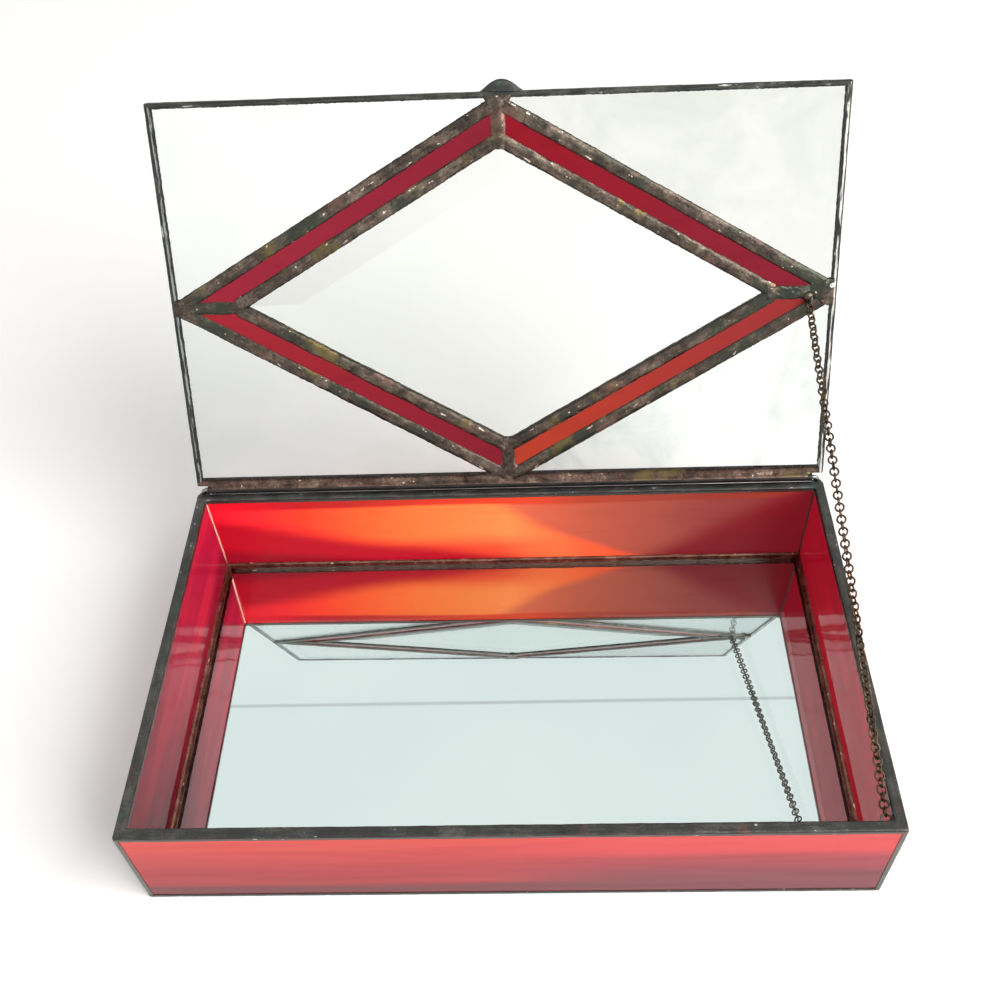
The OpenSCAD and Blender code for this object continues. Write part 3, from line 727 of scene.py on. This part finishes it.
def metalMaterial(name, look):
    # a bare or aged metal, clouded in tone, roughness and relief
    mat, tree, shader = newMaterial(name)
    where = objectPlace(tree)
    cloud = noiseNode(tree, where, look["cloud"], 5, 0.6, warp=0.6)
    colour = rampNode(tree, cloud, [(0.35, look["dark"]), (0.65, look["light"])])
    tree.links.new(colour, shader.inputs["Base Color"])
    shader.inputs["Metallic"].default_value = look["metal"]
    rough = mathNode(tree, "MULTIPLY_ADD", cloud, 0.25)
    rough.node.inputs[2].default_value = look["rough"]
    tree.links.new(rough, shader.inputs["Roughness"])
    tree.links.new(bumpNode(tree, cloud, look["bump"] * mm), shader.inputs["Normal"])
    return mat


chainBrass = metalMaterial("chainBrass", {"cloud": 260, "dark": (46, 36, 30), "light": (104, 84, 62),
                                          "metal": 1.0, "rough": 0.2, "bump": 0.05})
darkBrass = metalMaterial("darkBrass", {"cloud": 120, "dark": (40, 46, 52), "light": (72, 80, 86),
                                        "metal": 1.0, "rough": 0.36, "bump": 0.05})
eyeBrass = metalMaterial("eyeBrass", {"cloud": 500, "dark": (44, 42, 38), "light": (124, 114, 100),
                                      "metal": 1.0, "rough": 0.3, "bump": 0.08})
rodSteel = metalMaterial("rodSteel", {"cloud": 300, "dark": (110, 108, 104), "light": (160, 158, 154),
                                      "metal": 1.0, "rough": 0.25, "bump": 0.03})
brightTin = metalMaterial("brightTin", {"cloud": 800, "dark": (215, 215, 212), "light": (245, 245, 243),
                                        "metal": 1.0, "rough": 0.05, "bump": 0.05})


def mirrorMaterial(look):
    # clear glass above, and below it silver with a faint cool tint
    mat, tree, shader = newMaterial("mirrorSheet")
    where = objectPlace(tree)
    parts = splitNode(tree, where)
    silver = mathNode(tree, "LESS_THAN", parts["Z"], look["level"])
    cloud = noiseNode(tree, where, look["cloud"], 2)
    tint = rampNode(tree, cloud, [(0.3, look["dark"]), (0.7, look["light"])])
    tree.links.new(mixNode(tree, silver, look["glass"], tint), shader.inputs["Base Color"])
    tree.links.new(silver, shader.inputs["Metallic"])
    tree.links.new(mathNode(tree, "SUBTRACT", 1.0, silver), shader.inputs["Transmission Weight"])
    shader.inputs["Roughness"].default_value = 0.0
    # the silver isn't quite level: its height falls steadily along X
    fall = mathNode(tree, "MULTIPLY", parts["X"], weighted(tree, [(silver, -1)], 0.0))
    tree.links.new(bumpNode(tree, fall, look["lean"]), shader.inputs["Normal"])
    return mat


mirrorSheet = mirrorMaterial({"cloud": 9, "dark": (215, 228, 227), "light": (224, 235, 233),
                              "glass": (252, 255, 253), "level": mirrorLow[2] + 0.3 * mm, "lean": 0.0105})
mirrorCoat = metalMaterial("mirrorCoat", {"cloud": 60, "dark": (100, 102, 104), "light": (112, 114, 116),
                                          "metal": 0.0, "rough": 0.5, "bump": 0.02})
print("materials made")


# the tray's solder

seamLook = {"long": 9 * mm, "short": 2.6 * mm, "fine": 0.9 * mm, "swell": 0.20 * mm, "wander": 0.05,
            "fray": 0.15 * mm, "dark": 1.4}
rimLook = {"long": 16 * mm, "short": 4 * mm, "fine": 1.3 * mm, "swell": 0.09 * mm, "wander": 0.02}
skin = 0.02 * mm  # solder and foil stay this far off the glass


def maskFrom(profile, freeCount):
    return np.concatenate([np.ones(freeCount), np.zeros(len(profile) - freeCount)])


rim = {"foil": 0.28 * mm, "height": 1.0 * mm, "reach": 0.85 * mm, "step": 0.9 * mm, "round": 0.55 * mm,
       "fromHinge": 1.63 * mm}


def makeRim(s):
    # an upside-down U over the wall glass, its top a low crown
    half = glassT / 2 + s["foil"]
    top = arc(half, s["height"], 21, 5, 3)[::-1]
    outer = [[half, -s["reach"]], [half, -s["reach"] * 0.5]]
    inner = [[-half, -s["reach"] * 0.5], [-half, -s["reach"]]]
    under = [[-glassT / 2 - skin, -s["reach"]], [-glassT / 2 - skin, skin],
             [glassT / 2 + skin, skin], [glassT / 2 + skin, -s["reach"]]]
    profile = np.array(outer + top.tolist() + inner + under)
    free = maskFrom(profile, len(profile) - 4)
    ring, ends = ringPlace(halfW - glassT / 2, halfD - glassT / 2, wallTop, s["round"])

    def place(run, across, up):
        # no point comes nearer to the hinge line than the tube's coat allows
        p = ring(run, across, up)
        off = p[..., 1:] - hingeAt[1:]
        far = np.linalg.norm(off, axis=-1, keepdims=True)
        return np.concatenate([p[..., :1], hingeAt[1:] + off * np.maximum(far, s["fromHinge"]) / far], -1)
    run = ringRun(ends, s["step"])
    shell = sweepShell(place, run, profile, free, rimLook, 11, closed=True)
    return makePiece("rimSolder", [shell], rimSolder, "tray", ["rim_bead"])


base = {"foil": 0.2 * mm, "reach": 1.3 * mm, "under": 4.7 * mm, "step": 0.9 * mm, "round": 0.4 * mm}


def makeBase(s):
    # an L round the foot of the walls: up the outer face, and in under the floor glass
    top = wallLow + s["reach"]
    profile = np.array([[-s["under"], 0], [-s["under"] * 0.6, 0], [-1 * mm, 0], [-0.1 * mm, 0],
                        [0.12 * mm, 0.06 * mm], [s["foil"], 0.25 * mm], [s["foil"], s["reach"] * 0.5],
                        [s["foil"], top], [skin, top], [skin, wallLow - skin],
                        [-s["under"], wallLow - skin]])
    free = np.array([0, 0, 0, 0, 0.5, 1, 1, 1, 0, 0, 0], float)
    place, ends = ringPlace(halfW, halfD, 0, s["round"])
    shell = sweepShell(place, ringRun(ends, s["step"]), profile, free, rimLook, 21, closed=True)
    return makePiece("baseSolder", [shell], darkSolder, "tray", ["base_bead"])


def makeMirror():
    # a plain plate that stays just off the coat under it
    low, high = mirrorLow + [0, 0, skin], mirrorHigh
    points = np.array([[x, y, z] for z in (low[2], high[2]) for x, y in (
        (low[0], low[1]), (high[0], low[1]), (high[0], high[1]), (low[0], high[1]))])
    faces = [[0, 1, 2, 3], [4, 5, 6, 7]] + [[i, (i + 1) % 4, 4 + (i + 1) % 4, 4 + i] for i in range(4)]
    return makePiece("mirrorPlate", [(points, faces, points[:, :2], np.zeros(8))], mirrorSheet, "tray",
                     ["mirror_floor"], sharp=3)


floorSeam = {"rise": 1.1 * mm, "foil": 0.2 * mm, "over": 1.9 * mm, "step": 0.8 * mm}


def makeFloorSeam(s):
    # a rounded root in the corner of wall and mirror, thinning to a flat strip of foil on the mirror
    turn = np.linspace(0, math.pi / 2, 9)
    root = np.stack([-s["rise"] * np.sin(turn), s["foil"] + (s["rise"] - s["foil"]) * np.cos(turn) ** 0.9], 1)
    flat = [[-s["rise"] * 1.35, s["foil"]], [-s["over"] * 0.8, s["foil"]], [-s["over"], s["foil"] * 0.8]]
    profile = np.array([[0, skin]] + [[-skin, s["rise"]]] + root[1:].tolist() + flat + [[-s["over"], skin]])
    free = np.ones(len(profile))
    free[[0, 1, -1]] = 0
    place, ends = ringPlace(inW - skin, inD - skin, mirrorZ, 0)
    look = {**seamLook, "swell": 0.14 * mm, "wander": 0.0, "dark": 0.5}
    shell = sweepShell(place, ringRun(ends, s["step"]), profile, free, look, 31, closed=True)
    return makePiece("floorSolder", [shell], floorBrown, "tray", ["floor_seam"])


upright = {"foil": 0.2 * mm, "lap": 4.7 * mm, "over": 1.3 * mm, "root": 0.45 * mm, "step": 0.7 * mm,
           "underRim": 0.25 * mm, "fade": 2 * mm,
           "finishes": {"back_left": tanSolder, "back_right": duskSolder}}


def makeUpright(corner, sideX, sideY, s):
    # foil over both faces of a corner, its edge rounded, and a thin root inside
    f = s["foil"]
    outside = np.array([[skin, -s["lap"]], [f, -s["lap"]], [f, -s["lap"] / 2], [f * 1.2, -0.5 * mm],
                        [f, -0.1 * mm], [f * 0.6, f * 0.6], [-0.1 * mm, f], [-0.5 * mm, f * 1.2],
                        [-s["over"] * 0.7, f], [-s["over"], f], [-s["over"], skin], [skin, skin]])
    free = np.array([0, 1, 1, 1, 1, 1, 1, 1, 1, 1, 0, 0], float)
    low, high = (end[2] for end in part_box("corner_seam_" + corner))
    high = max(high, wallTop - rim["reach"] + s["underRim"])  # runs in under the foil of the rim
    start, end = [sideX * halfW, sideY * halfD, low], [sideX * halfW, sideY * halfD, high]
    place, length = straightPlace(start, end, [sideX, 0, 0], [0, sideY, 0])
    run = np.linspace(0, length, int(length / s["step"]))
    seed = int(sideX + 3 * sideY)
    shells = [sweepShell(place, run, outside, free, rimLook, 40 + seed, s["fade"])]
    turn = np.linspace(0, math.pi / 2, 6)
    root = np.stack([-s["root"] * np.cos(turn), -s["root"] * np.sin(turn)], 1) * np.array(
        [[1 - 0.25 * math.sin(2 * t)] for t in turn])
    root = np.concatenate([[[-skin, -skin]], root - skin])
    free = np.array([0, 0.3, 1, 1, 1, 1, 0.3])
    low = mirrorZ + floorSeam["rise"] * 0.6
    place, length = straightPlace([sideX * inW, sideY * inD, low], [sideX * inW, sideY * inD, high],
                                  [sideX, 0, 0], [0, sideY, 0])
    run = np.linspace(0, length, int(length / s["step"]))
    shells.append(sweepShell(place, run, root, free, rimLook, 60 + seed))
    name = "uprightSolder" + joined(corner)
    finish = s["finishes"].get(corner, paleSolder)
    return makePiece(name, shells, finish, "tray", ["corner_seam_" + corner])


quarters = {"front_left": (-1, -1), "front_right": (1, -1), "back_left": (-1, 1), "back_right": (1, 1)}
makeRim(rim)
makeBase(base)
makeFloorSeam(floorSeam)
makeMirror()
for corner, (sideX, sideY) in quarters.items():
    makeUpright(corner, sideX, sideY, upright)
print("tray solder made")


# the lid's seams

seam = {"half": 2.2 * mm, "under": 0.6 * mm, "over": 0.8 * mm, "web": 0.17 * mm, "step": 0.55 * mm,
        "points": 15, "borderFree": 0.25, "trim": 0.4}


def seamProfile(s, tilt=0.0):
    # an H on its side: a crown below the glass, a thin web between two panes, and a crown above
    count = s["points"]
    low = arc(s["half"], s["under"], count) * [1, -1]
    high = arc(s["half"], s["over"], count)[::-1]
    high[:, 1] += glassT + np.maximum(high[:, 0], 0) * tilt
    w = s["web"]
    right = [[s["half"], -skin], [w, -skin], [w, glassT + skin],
             [s["half"], glassT + skin + s["half"] * tilt]]
    left = [[-s["half"], glassT + skin], [-w, glassT + skin], [-w, -skin], [-s["half"], -skin]]
    low[[0, -1], 1] -= skin * 3
    high[[0, -1], 1] += skin * 3
    profile = np.array(low.tolist() + right + high.tolist() + left)
    free = np.concatenate([np.ones(count), np.zeros(4), np.ones(count), np.zeros(4)])
    free[[0, count - 1, count + 4, 2 * count + 3]] = s["borderFree"]
    return profile, free


def makeSideSeam(kind, corner, distance, tilt, seed):
    # along one side of the diamond, between its two corner seams
    sideX, sideY = quarters[corner]
    tip = np.array([sideX * distance / math.sin(slope), 0])
    top = np.array([0, sideY * distance / math.cos(slope)])
    start, end = np.array([*(middle + tip), lidZ]), np.array([*(middle + top), lidZ])
    ahead = (end - start) / np.linalg.norm(end - start)
    inward = np.array([-sideX * math.sin(slope), -sideY * math.cos(slope), 0])
    start = start + ahead * seam["half"] * seam["trim"] / math.sin(slope)
    if kind == "outer":
        end = end - ahead * seam["trim"] * seam["half"] / math.cos(slope)
    place, length = straightPlace(start, end, inward, [0, 0, 1], turned=True, shape=clearOfRim)
    profile, free = seamProfile(seam, tilt)
    run = np.linspace(0, length, int(length / seam["step"]))
    shell = sweepShell(place, run, profile, free, seamLook, seed)
    name = kind + "Seam" + joined(corner)
    return makePiece(name, [shell], seamSolder, "lid", [f"{kind}_seam_{corner}"])


bevel = {"width": 10.8 * mm}
bevelTilt = (diamondHigh[2] - lidTop) / bevel["width"]
stripWide, gap = 9.6 * mm, 0.2 * mm
innerLine = halfDiag[0] * math.sin(slope) + gap
outerLine = innerLine + stripWide + 2 * gap
for count, corner in enumerate(quarters):
    makeSideSeam("inner", corner, innerLine, bevelTilt, 100 + 10 * count)
    makeSideSeam("outer", corner, outerLine, 0.0, 200 + 10 * count)

mitreCrowns = {"under": 0.7 * mm, "over": 0.95 * mm}
mitreInto = 3.2 * mm  # a mitre starts this far inside the diamond's corner
webHalf = 0.3 * mm  # nearer to the middle than this is the web, which the flare doesn't widen
mitreLook = {**seamLook, "long": 5 * mm, "short": 2.2 * mm, "wander": 0.1}
mitreStep = 0.4  # in mm, as the values below; ahead points from the diamond to the lid's edge
mitres = {
    "front": {"ahead": (0, -1), "lip": 1.0, "flare": 2.2, "under": 0.9, "swell": 0.35, "flareRun": 4},
    "back": {"ahead": (0, 1), "lip": 2.4, "flare": 2.0, "under": 0.9, "swell": 0.4, "flareRun": 5},
    "left": {"ahead": (-1, 0), "lip": 1.0, "flare": 0.8, "under": 1.0, "swell": 0.4, "flareRun": 9},
    "right": {"ahead": (1, 0), "lip": 1.0, "flare": 2.4, "under": 1.6, "swell": 0.8, "flareRun": 12},
}


def makeMitre(side, s, seed):
    # a thick seam from the diamond's corner to the lid's edge, flaring where it meets the edge
    ahead = np.array([*s["ahead"], 0], float)
    inner = np.abs(ahead[0]) * innerLine / math.sin(slope) + np.abs(ahead[1]) * innerLine / math.cos(slope)
    reach = {"front": middle[1] - edgeLow[1], "back": edgeHigh[1] - middle[1],
             "left": middle[0] - edgeLow[0], "right": edgeHigh[0] - middle[0]}[side]
    start = np.array([*middle, lidZ]) + ahead * (inner - mitreInto)
    end = np.array([*middle, lidZ]) + ahead * (reach - s["lip"] * mm)
    place, length = straightPlace(start, end, [-ahead[1], ahead[0], 0], [0, 0, 1], turned=True,
                                  shape=clearOfRim)
    profile, free = seamProfile({**seam, **mitreCrowns})
    wider = profile * [1 + s["flare"] * mm / seam["half"], 1]
    count = seam["points"]
    below = profile[:count, 1] + skin * 3
    wider[:count, 1] = below * s["under"] * mm / mitreCrowns["under"]
    wider[:, 0] = np.where(np.abs(profile[:, 0]) < webHalf, profile[:, 0], wider[:, 0])
    run = np.linspace(0, length, max(int(length / mitreStep / mm), 8))
    mix = ease((run / mm - (length / mm - s["flareRun"])) / s["flareRun"])
    look = {**mitreLook, "swell": s["swell"] * mm}
    shell = sweepShell(place, run, profile, free, look, seed, other=wider, mix=mix)
    return makePiece("mitre" + side.title(), [shell], seamSolder, "lid", ["mitre_" + side])


for count, side in enumerate(mitres):
    makeMitre(side, mitres[side], 300 + 10 * count)

edge = {"width": 1.7 * mm, "foil": 0.2 * mm, "proud": 0.32 * mm, "step": 0.5 * mm, "round": 0.9 * mm,
        "fade": 2 * mm}
edgeSwell = {**rimLook, "swell": 0.14 * mm, "fray": 0.16 * mm}
hingedEdge = {"width": 2.4 * mm, "tube": 1.54 * mm, "tubeSides": 28, "coat": 1.57 * mm, "inside": 1.1 * mm,
              "end": 4.0 * mm, "fade": 1.5 * mm}


def edgeProfile(width, s, count=9):
    # a C round the glass edge, its back rounded by solder
    f, p = s["foil"], s["proud"]
    turn = np.linspace(-math.pi / 2, math.pi / 2, count)
    bulge = np.stack([p * np.cos(turn) ** 0.7, glassT / 2 + (glassT / 2 + f) * np.sin(turn)], 1)
    outer = [[-width, -f * 0.7], [-width * 0.5, -f]] + bulge.tolist()
    outer += [[-width * 0.5, glassT + f], [-width, glassT + f * 0.7]]
    inner = [[-width, glassT + skin], [skin, glassT + skin], [skin, -skin], [-width, -skin]]
    profile = np.array(outer + inner)
    return profile, maskFrom(profile, len(outer))


def makeEdge(side, seed):
    # the C profile along one free edge of the lid; where two edges meet, both are cut back at 45 degrees
    lowX, lowY = edgeLow[:2]
    highX, highY = edgeHigh[:2]
    ends = {"front": ([highX, lowY], [lowX, lowY], [0, -1]), "left": ([lowX, lowY], [lowX, highY], [-1, 0]),
            "right": ([highX, highY], [highX, lowY], [1, 0])}[side]
    start, end, out = [*ends[0], lidZ], [*ends[1], lidZ], [*ends[2], 0]
    mitre = {"front": (-1, 1), "left": (-1, 0), "right": (0, 1)}[side]
    place, length = straightPlace(start, end, out, [0, 0, 1], *mitre, turned=True, shape=roundCorners)
    profile, free = edgeProfile(edge["width"], edge)
    run = np.linspace(0, length, int(length / edge["step"]))
    shell = sweepShell(place, run, profile, free, edgeSwell, seed, edge["fade"])
    return makePiece("edge" + side.title(), [shell], edgeSolder[side], "lid", ["lid_edge_" + side])


for count, side in enumerate(("front", "left", "right")):
    makeEdge(side, 400 + 10 * count)


def makeHingedEdge(s, seed):
    # foil on both faces of the hinged edge, and away from the ends solder that wraps two sides of the tube
    plain, free = edgeProfile(s["width"], edge, 15)
    full = plain.copy()
    free[4:10] = 0.2  # little swell where it wraps the tube, so that it clears the rim when shut
    tubeAt = np.array([hingeAt[1] - edgeHigh[1], hingeAt[2] - lidZ])
    wrap = [(s["coat"], 237), (s["coat"], 243), (s["coat"], 249), (s["inside"], 249), (s["inside"], 233),
            (s["inside"], 180)]
    wrap = [tubeAt + r * np.array([math.cos(math.radians(a)), math.sin(math.radians(a))]) for r, a in wrap]
    top = tubeAt + [0, s["coat"]]
    full[2:17] = np.array([[0.1 * mm, -0.42 * mm], [0.42 * mm, -0.8 * mm], *wrap,
                           [0.8 * mm, top[1] - 0.3 * mm], top - [0, 0.2 * mm], top + [0.7 * mm, -0.15 * mm],
                           top + [0.6 * mm, 0.2 * mm], [top[0] * 0.6, glassT * 0.75], [0.5 * mm, glassT],
                           [0.1 * mm, glassT + 0.22 * mm]])
    place, length = straightPlace([edgeLow[0], edgeHigh[1], lidZ], [edgeHigh[0], edgeHigh[1], lidZ],
                                  [0, 1, 0], [0, 0, 1], turned=True)
    run = np.linspace(0, length, int(length / edge["step"]))
    mix = ease((np.minimum(run, length - run) - s["end"]) / s["fade"])
    look = {**seamLook, "swell": 0.09 * mm, "wander": 0.0, "fray": 0, "dark": 1.8}
    shell = sweepShell(place, run, plain, free, look, seed, edge["fade"], other=full, mix=mix)
    return makePiece("edgeHinged", [shell], brownSolder, "lid", ["lid_edge_back"])


def makeTube(s, seed):
    # the hinge tube under a thin coat of solder, round about the hinge line
    turn = np.linspace(0, 2 * math.pi, s["tubeSides"], endpoint=False)
    profile = np.stack([np.cos(turn), np.sin(turn)], 1) * s["tube"]
    low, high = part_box("hinge_tube")
    place, length = straightPlace([low[0], *hingeAt[1:]], [high[0], *hingeAt[1:]], [0, 1, 0], [0, 0, 1],
                                  turned=True)
    run = np.linspace(0, length, int(length / mm))
    look = {**rimLook, "swell": 0.02 * mm, "wander": 0.0}
    shell = sweepShell(place, run, profile, np.ones(len(profile)), look, seed, edge["fade"])
    return makePiece("hingeTube", [shell], tubeSolder, "lid", ["hinge_tube"])


makeTube(hingedEdge, 460)
makeHingedEdge(hingedEdge, 450)

tab = {"width": 14 * mm, "reach": 3.6 * mm, "thick": 1.8 * mm, "right": 2.2 * mm, "step": 0.35 * mm}


def makeTab(s, seed):
    # a lens of solder on the front edge: its half-round profile grows and shrinks along the edge
    turn = np.linspace(-math.pi / 2, math.pi / 2, 13)
    profile = np.stack([np.cos(turn) ** 0.8, np.sin(turn) * s["thick"] / 2], 1)
    profile = np.concatenate([profile, [[-0.15, s["thick"] / 2], [-0.15, -s["thick"] / 2]]])
    free = maskFrom(profile, 13)
    run = np.linspace(0, s["width"], int(s["width"] / s["step"]))
    lift = (1 - ((run - s["width"] / 2) / (s["width"] / 2)) ** 2) ** 1.3
    edgeY = edgeLow[1] - edge["proud"] * 0.6

    def place(run, across, up):
        reach = 0.2 * mm + s["reach"] * lift[:, None]
        p = np.stack([s["right"] - s["width"] / 2 + run[:, None] + 0 * across, edgeY - across * reach,
                      lidZ + glassT / 2 + up * (0.55 + 0.45 * lift[:, None])], -1)
        return openLid(p)
    around = {**rimLook, "swell": 0.0, "wander": 0.0}
    shell = sweepShell(place, run, profile, free, around, seed, fadeEnds=1 * mm)
    return makePiece("thumbTab", [shell], darkSolder, "lid", ["thumb_tab"])


makeTab(tab, 480)

drop = {"place": (112.1 * mm, -1.1 * mm), "radius": 1.5 * mm, "height": 0.8 * mm, "rings": 12, "sides": 20}


def makeDrop(s):
    # a bright half-round drop on the underside of the lid, beside the right mitre
    place, length = straightPlace([*s["place"], lidZ + 0.2 * mm], [*s["place"], lidZ - s["height"]],
                                  [1, 0, 0], [0, 1, 0], turned=True)
    run = np.linspace(0, length, s["rings"])
    turn = np.linspace(0, 2 * math.pi, s["sides"], endpoint=False)
    profile = np.stack([np.cos(turn), np.sin(turn)], 1) * s["radius"]
    width = np.sqrt(np.maximum(1 - (run / length) ** 2, 0.001))
    shell = sweepShell(place, run, profile, np.zeros(len(profile)), rimLook, 5, other=profile * 0,
                       mix=1 - width)
    return makePiece("solderDrop", [shell], brightTin, "lid", ["solder_drop"])


makeDrop(drop)


def makeBevel(s):
    # underside, edge, four ground facets and the flat table, each with its own facet number
    share = 1 - s["width"] / (halfDiag[0] * math.sin(slope))
    around = np.array([[1, 0], [0, 1], [-1, 0], [0, -1]]) * halfDiag
    levels = [(1, lidZ), (1, lidTop), (share, diamondHigh[2])]
    points = [np.concatenate([around * k + middle, np.full((4, 1), z)], 1) for k, z in levels]
    faces = [[0, 1, 2, 3], [8, 9, 10, 11]]
    numbers = [0.0, 0.0]
    for i in range(4):
        j = (i + 1) % 4
        faces += [[i, j, 4 + j, 4 + i], [4 + i, 4 + j, 8 + j, 8 + i]]
        numbers += [0.95, (0.55, 0.75, 0.15, 0.35)[i]]
    points = openLid(np.concatenate(points))
    obj = makePiece("bevelDiamond", [(points, faces, points[:, :2], np.zeros(12))], bevelGlass, "lid",
                    ["bevel_diamond"], sharp=3)
    obj.data.attributes.new("facet", "FLOAT", "FACE").data.foreach_set("value", numbers)
    return obj


makeBevel(bevel)
print("lid seams made")


# chain

chain = {"links": 83, "ring": 1.33 * mm, "wire": 0.325 * mm, "around": 24, "wireSides": 8,
         "turn": 91.5, "wobble": 0.05, "oval": 0.02, "seed": 77}


def makeChain(s):
    # each link is a ring of round wire, a little oval, at ring angle a and wire angle b; the links follow one
    # another at an even pitch, each turned about a quarter turn on the one before
    joints = {j["child"]: np.array(j["pos_m"]) for j in frame["joints"] if j["child"].startswith("chain_")}
    count = len(joints)
    first = [k * s["links"] // count for k in range(count + 1)]
    start, end = joints["chain_1"], joints[f"chain_{count}"]
    ahead = (end - start) / np.linalg.norm(end - start)
    pitch = np.linalg.norm(end - joints["chain_2"]) / (first[count - 1] - first[1])
    lead = np.linalg.norm(joints["chain_2"] - start) - (first[1] - 0.5) * pitch
    level = np.array([-ahead[1], ahead[0], 0]) / math.hypot(ahead[0], ahead[1])
    upright = np.cross(ahead, level)
    a = np.linspace(0, 2 * math.pi, s["around"], endpoint=False)[:, None]
    b = np.linspace(0, 2 * math.pi, s["wireSides"], endpoint=False)[None]
    quads = gridFaces(s["around"], s["wireSides"], True)
    lean = np.random.default_rng(s["seed"]).uniform(-1, 1, (s["links"], 2)) * s["wobble"]
    for k in range(count):
        shells = []
        for i in range(first[k], first[k + 1]):
            turn = math.radians(90 + s["turn"] * i) + lean[i, 0]
            side = math.cos(turn) * level + math.sin(turn) * upright
            across = np.cross(ahead, side)
            middleAt = start + ahead * (lead + i * pitch)
            radius = s["ring"] * (1 + s["oval"] * np.cos(2 * a)) + s["wire"] * np.cos(b)
            p = middleAt + (radius * np.cos(a))[..., None] * ahead + (radius * np.sin(a))[..., None] * side
            p = p + (s["wire"] * np.sin(b) + 0 * a)[..., None] * across
            uv = np.stack([a * s["ring"] + 0 * b, b * s["wire"] + 0 * a], -1).reshape(-1, 2)
            shells.append((p.reshape(-1, 3), quads.tolist(), uv, np.zeros(len(uv))))
        name = f"chain_{k + 1}"
        makePiece(f"chainRun{k + 1}", shells, chainBrass, name, [name], sharp=80)


makeChain(chain)
print("chain made")


# carried-over nodes get their finishes

finishes = {
    "front_pane": opalFront, "back_pane": opalBack, "left_pane": opalLeft, "right_pane": opalRight,
    "mirror_backing": mirrorCoat,
    "hinge_rod": rodSteel,
    "rod_joint_left": darkBrass, "rod_joint_right": darkBrass, "tray_eye": eyeBrass, "lid_eye": eyeBrass,
}
for corner, tones in stripTones.items():
    name = "strip" + joined(corner)
    finishes["strip_" + corner] = opalMaterial(name, stripSheet, {
        **opal, "stretch": (0.3, 1, 1), "shift": (0, 0, 0), "ribbonShare": 0.15, "paintedGlow": 0.2,
        "wobble": 30, "ribbonDark": (110, 100, 105), "ribbonPale": (150, 140, 140), "ripple": 30,
        "wave": 0.08, **tones})
    finishes["lid_pane_" + corner] = chippedGlass[corner]


def dressNode(node, material):
    obj = frame["nodes"][node]
    if obj.data.materials:
        for i in range(len(obj.data.materials)):
            obj.data.materials[i] = material
    else:
        obj.data.materials.append(material)


for node, material in finishes.items():
    dressNode(node, material)
print("nodes dressed:", len(finishes))


# floor, world and lamps

studio = {"floorSide": 6.0, "floorTone": (248, 248, 247), "skyForLight": 0.32, "lampPower": 130.0,
          "lampSize": 2.4, "lampPlace": (2.2, -1.2, 2.0), "floorGlow": 0.26, "lineAt": 1.621,
          "lineLean": 0.036, "lineSoft": (0.003, 0.007), "lineTone": 0.72, "aim": (0, 0, 0.05),
          "lampTone": (1.0, 0.98, 0.95)}


def seenNode(tree):
    # 1 for what the camera sees, also in a reflection or through glass, and 0 for the light on the object
    rays = tree.nodes.new("ShaderNodeLightPath")
    seen = mathNode(tree, "MAXIMUM", rays.outputs["Is Camera Ray"], rays.outputs["Is Glossy Ray"])
    return mathNode(tree, "MAXIMUM", seen, rays.outputs["Is Transmission Ray"])


def makeFloor(s):
    # a wide white sheet that glows a little for the camera, so that it comes out as white as paper
    mesh = bpy.data.meshes.new("floor")
    h = s["floorSide"] / 2
    mesh.from_pydata([(-h, -h, 0), (h, -h, 0), (h, h, 0), (-h, h, 0)], [], [(0, 1, 2, 3)])
    mat, tree, shader = newMaterial("floorPaper")
    shader.inputs["Base Color"].default_value = srgb(*s["floorTone"])
    shader.inputs["Roughness"].default_value = 0.9
    shader.inputs["Specular IOR Level"].default_value = 0.0
    seen = seenNode(tree)
    shader.inputs["Emission Color"].default_value = (1, 1, 1, 1)
    tree.links.new(mathNode(tree, "MULTIPLY", seen, s["floorGlow"]), shader.inputs["Emission Strength"])
    mesh.materials.append(mat)
    floor = bpy.data.objects.new("floor", mesh)
    bpy.context.scene.collection.objects.link(floor)


def makeWorld(s):
    # white all round, bright for the camera and weaker as light on the object
    world = bpy.data.worlds.new("studio")
    bpy.context.scene.world = world
    world.use_nodes = True
    tree = world.node_tree
    seen = seenNode(tree)
    # one level line in the room, at a fixed rise over distance towards the back
    parts = splitNode(tree, tree.nodes.new("ShaderNodeTexCoord").outputs["Generated"])
    backward = mathNode(tree, "MAXIMUM", parts["Y"], 0.01)
    height = weighted(tree, [(parts["X"], s["lineLean"]), (parts["Z"], 1)], 0.0)
    rise = mathNode(tree, "DIVIDE", height, backward)
    off = mathNode(tree, "ABSOLUTE", mathNode(tree, "SUBTRACT", rise, s["lineAt"]))
    bright = spanNode(tree, off, *s["lineSoft"], s["lineTone"], 1.0)
    level = spanNode(tree, seen, 0, 1, s["skyForLight"], 1.0)
    level = mathNode(tree, "MINIMUM", level, bright)
    back = tree.nodes["Background"]
    back.inputs["Color"].default_value = (1, 1, 1, 1)
    tree.links.new(level, back.inputs["Strength"])


def makeLamp(s):
    data = bpy.data.lights.new("key", "AREA")
    data.size = s["lampSize"]
    data.energy = s["lampPower"]
    data.color = s["lampTone"]
    lamp = bpy.data.objects.new("key", data)
    bpy.context.scene.collection.objects.link(lamp)
    lamp.location = s["lampPlace"]
    aim = Vector(s["aim"]) - Vector(s["lampPlace"])
    lamp.rotation_euler = aim.to_track_quat("-Z", "Y").to_euler()


makeFloor(studio)
makeWorld(studio)
makeLamp(studio)
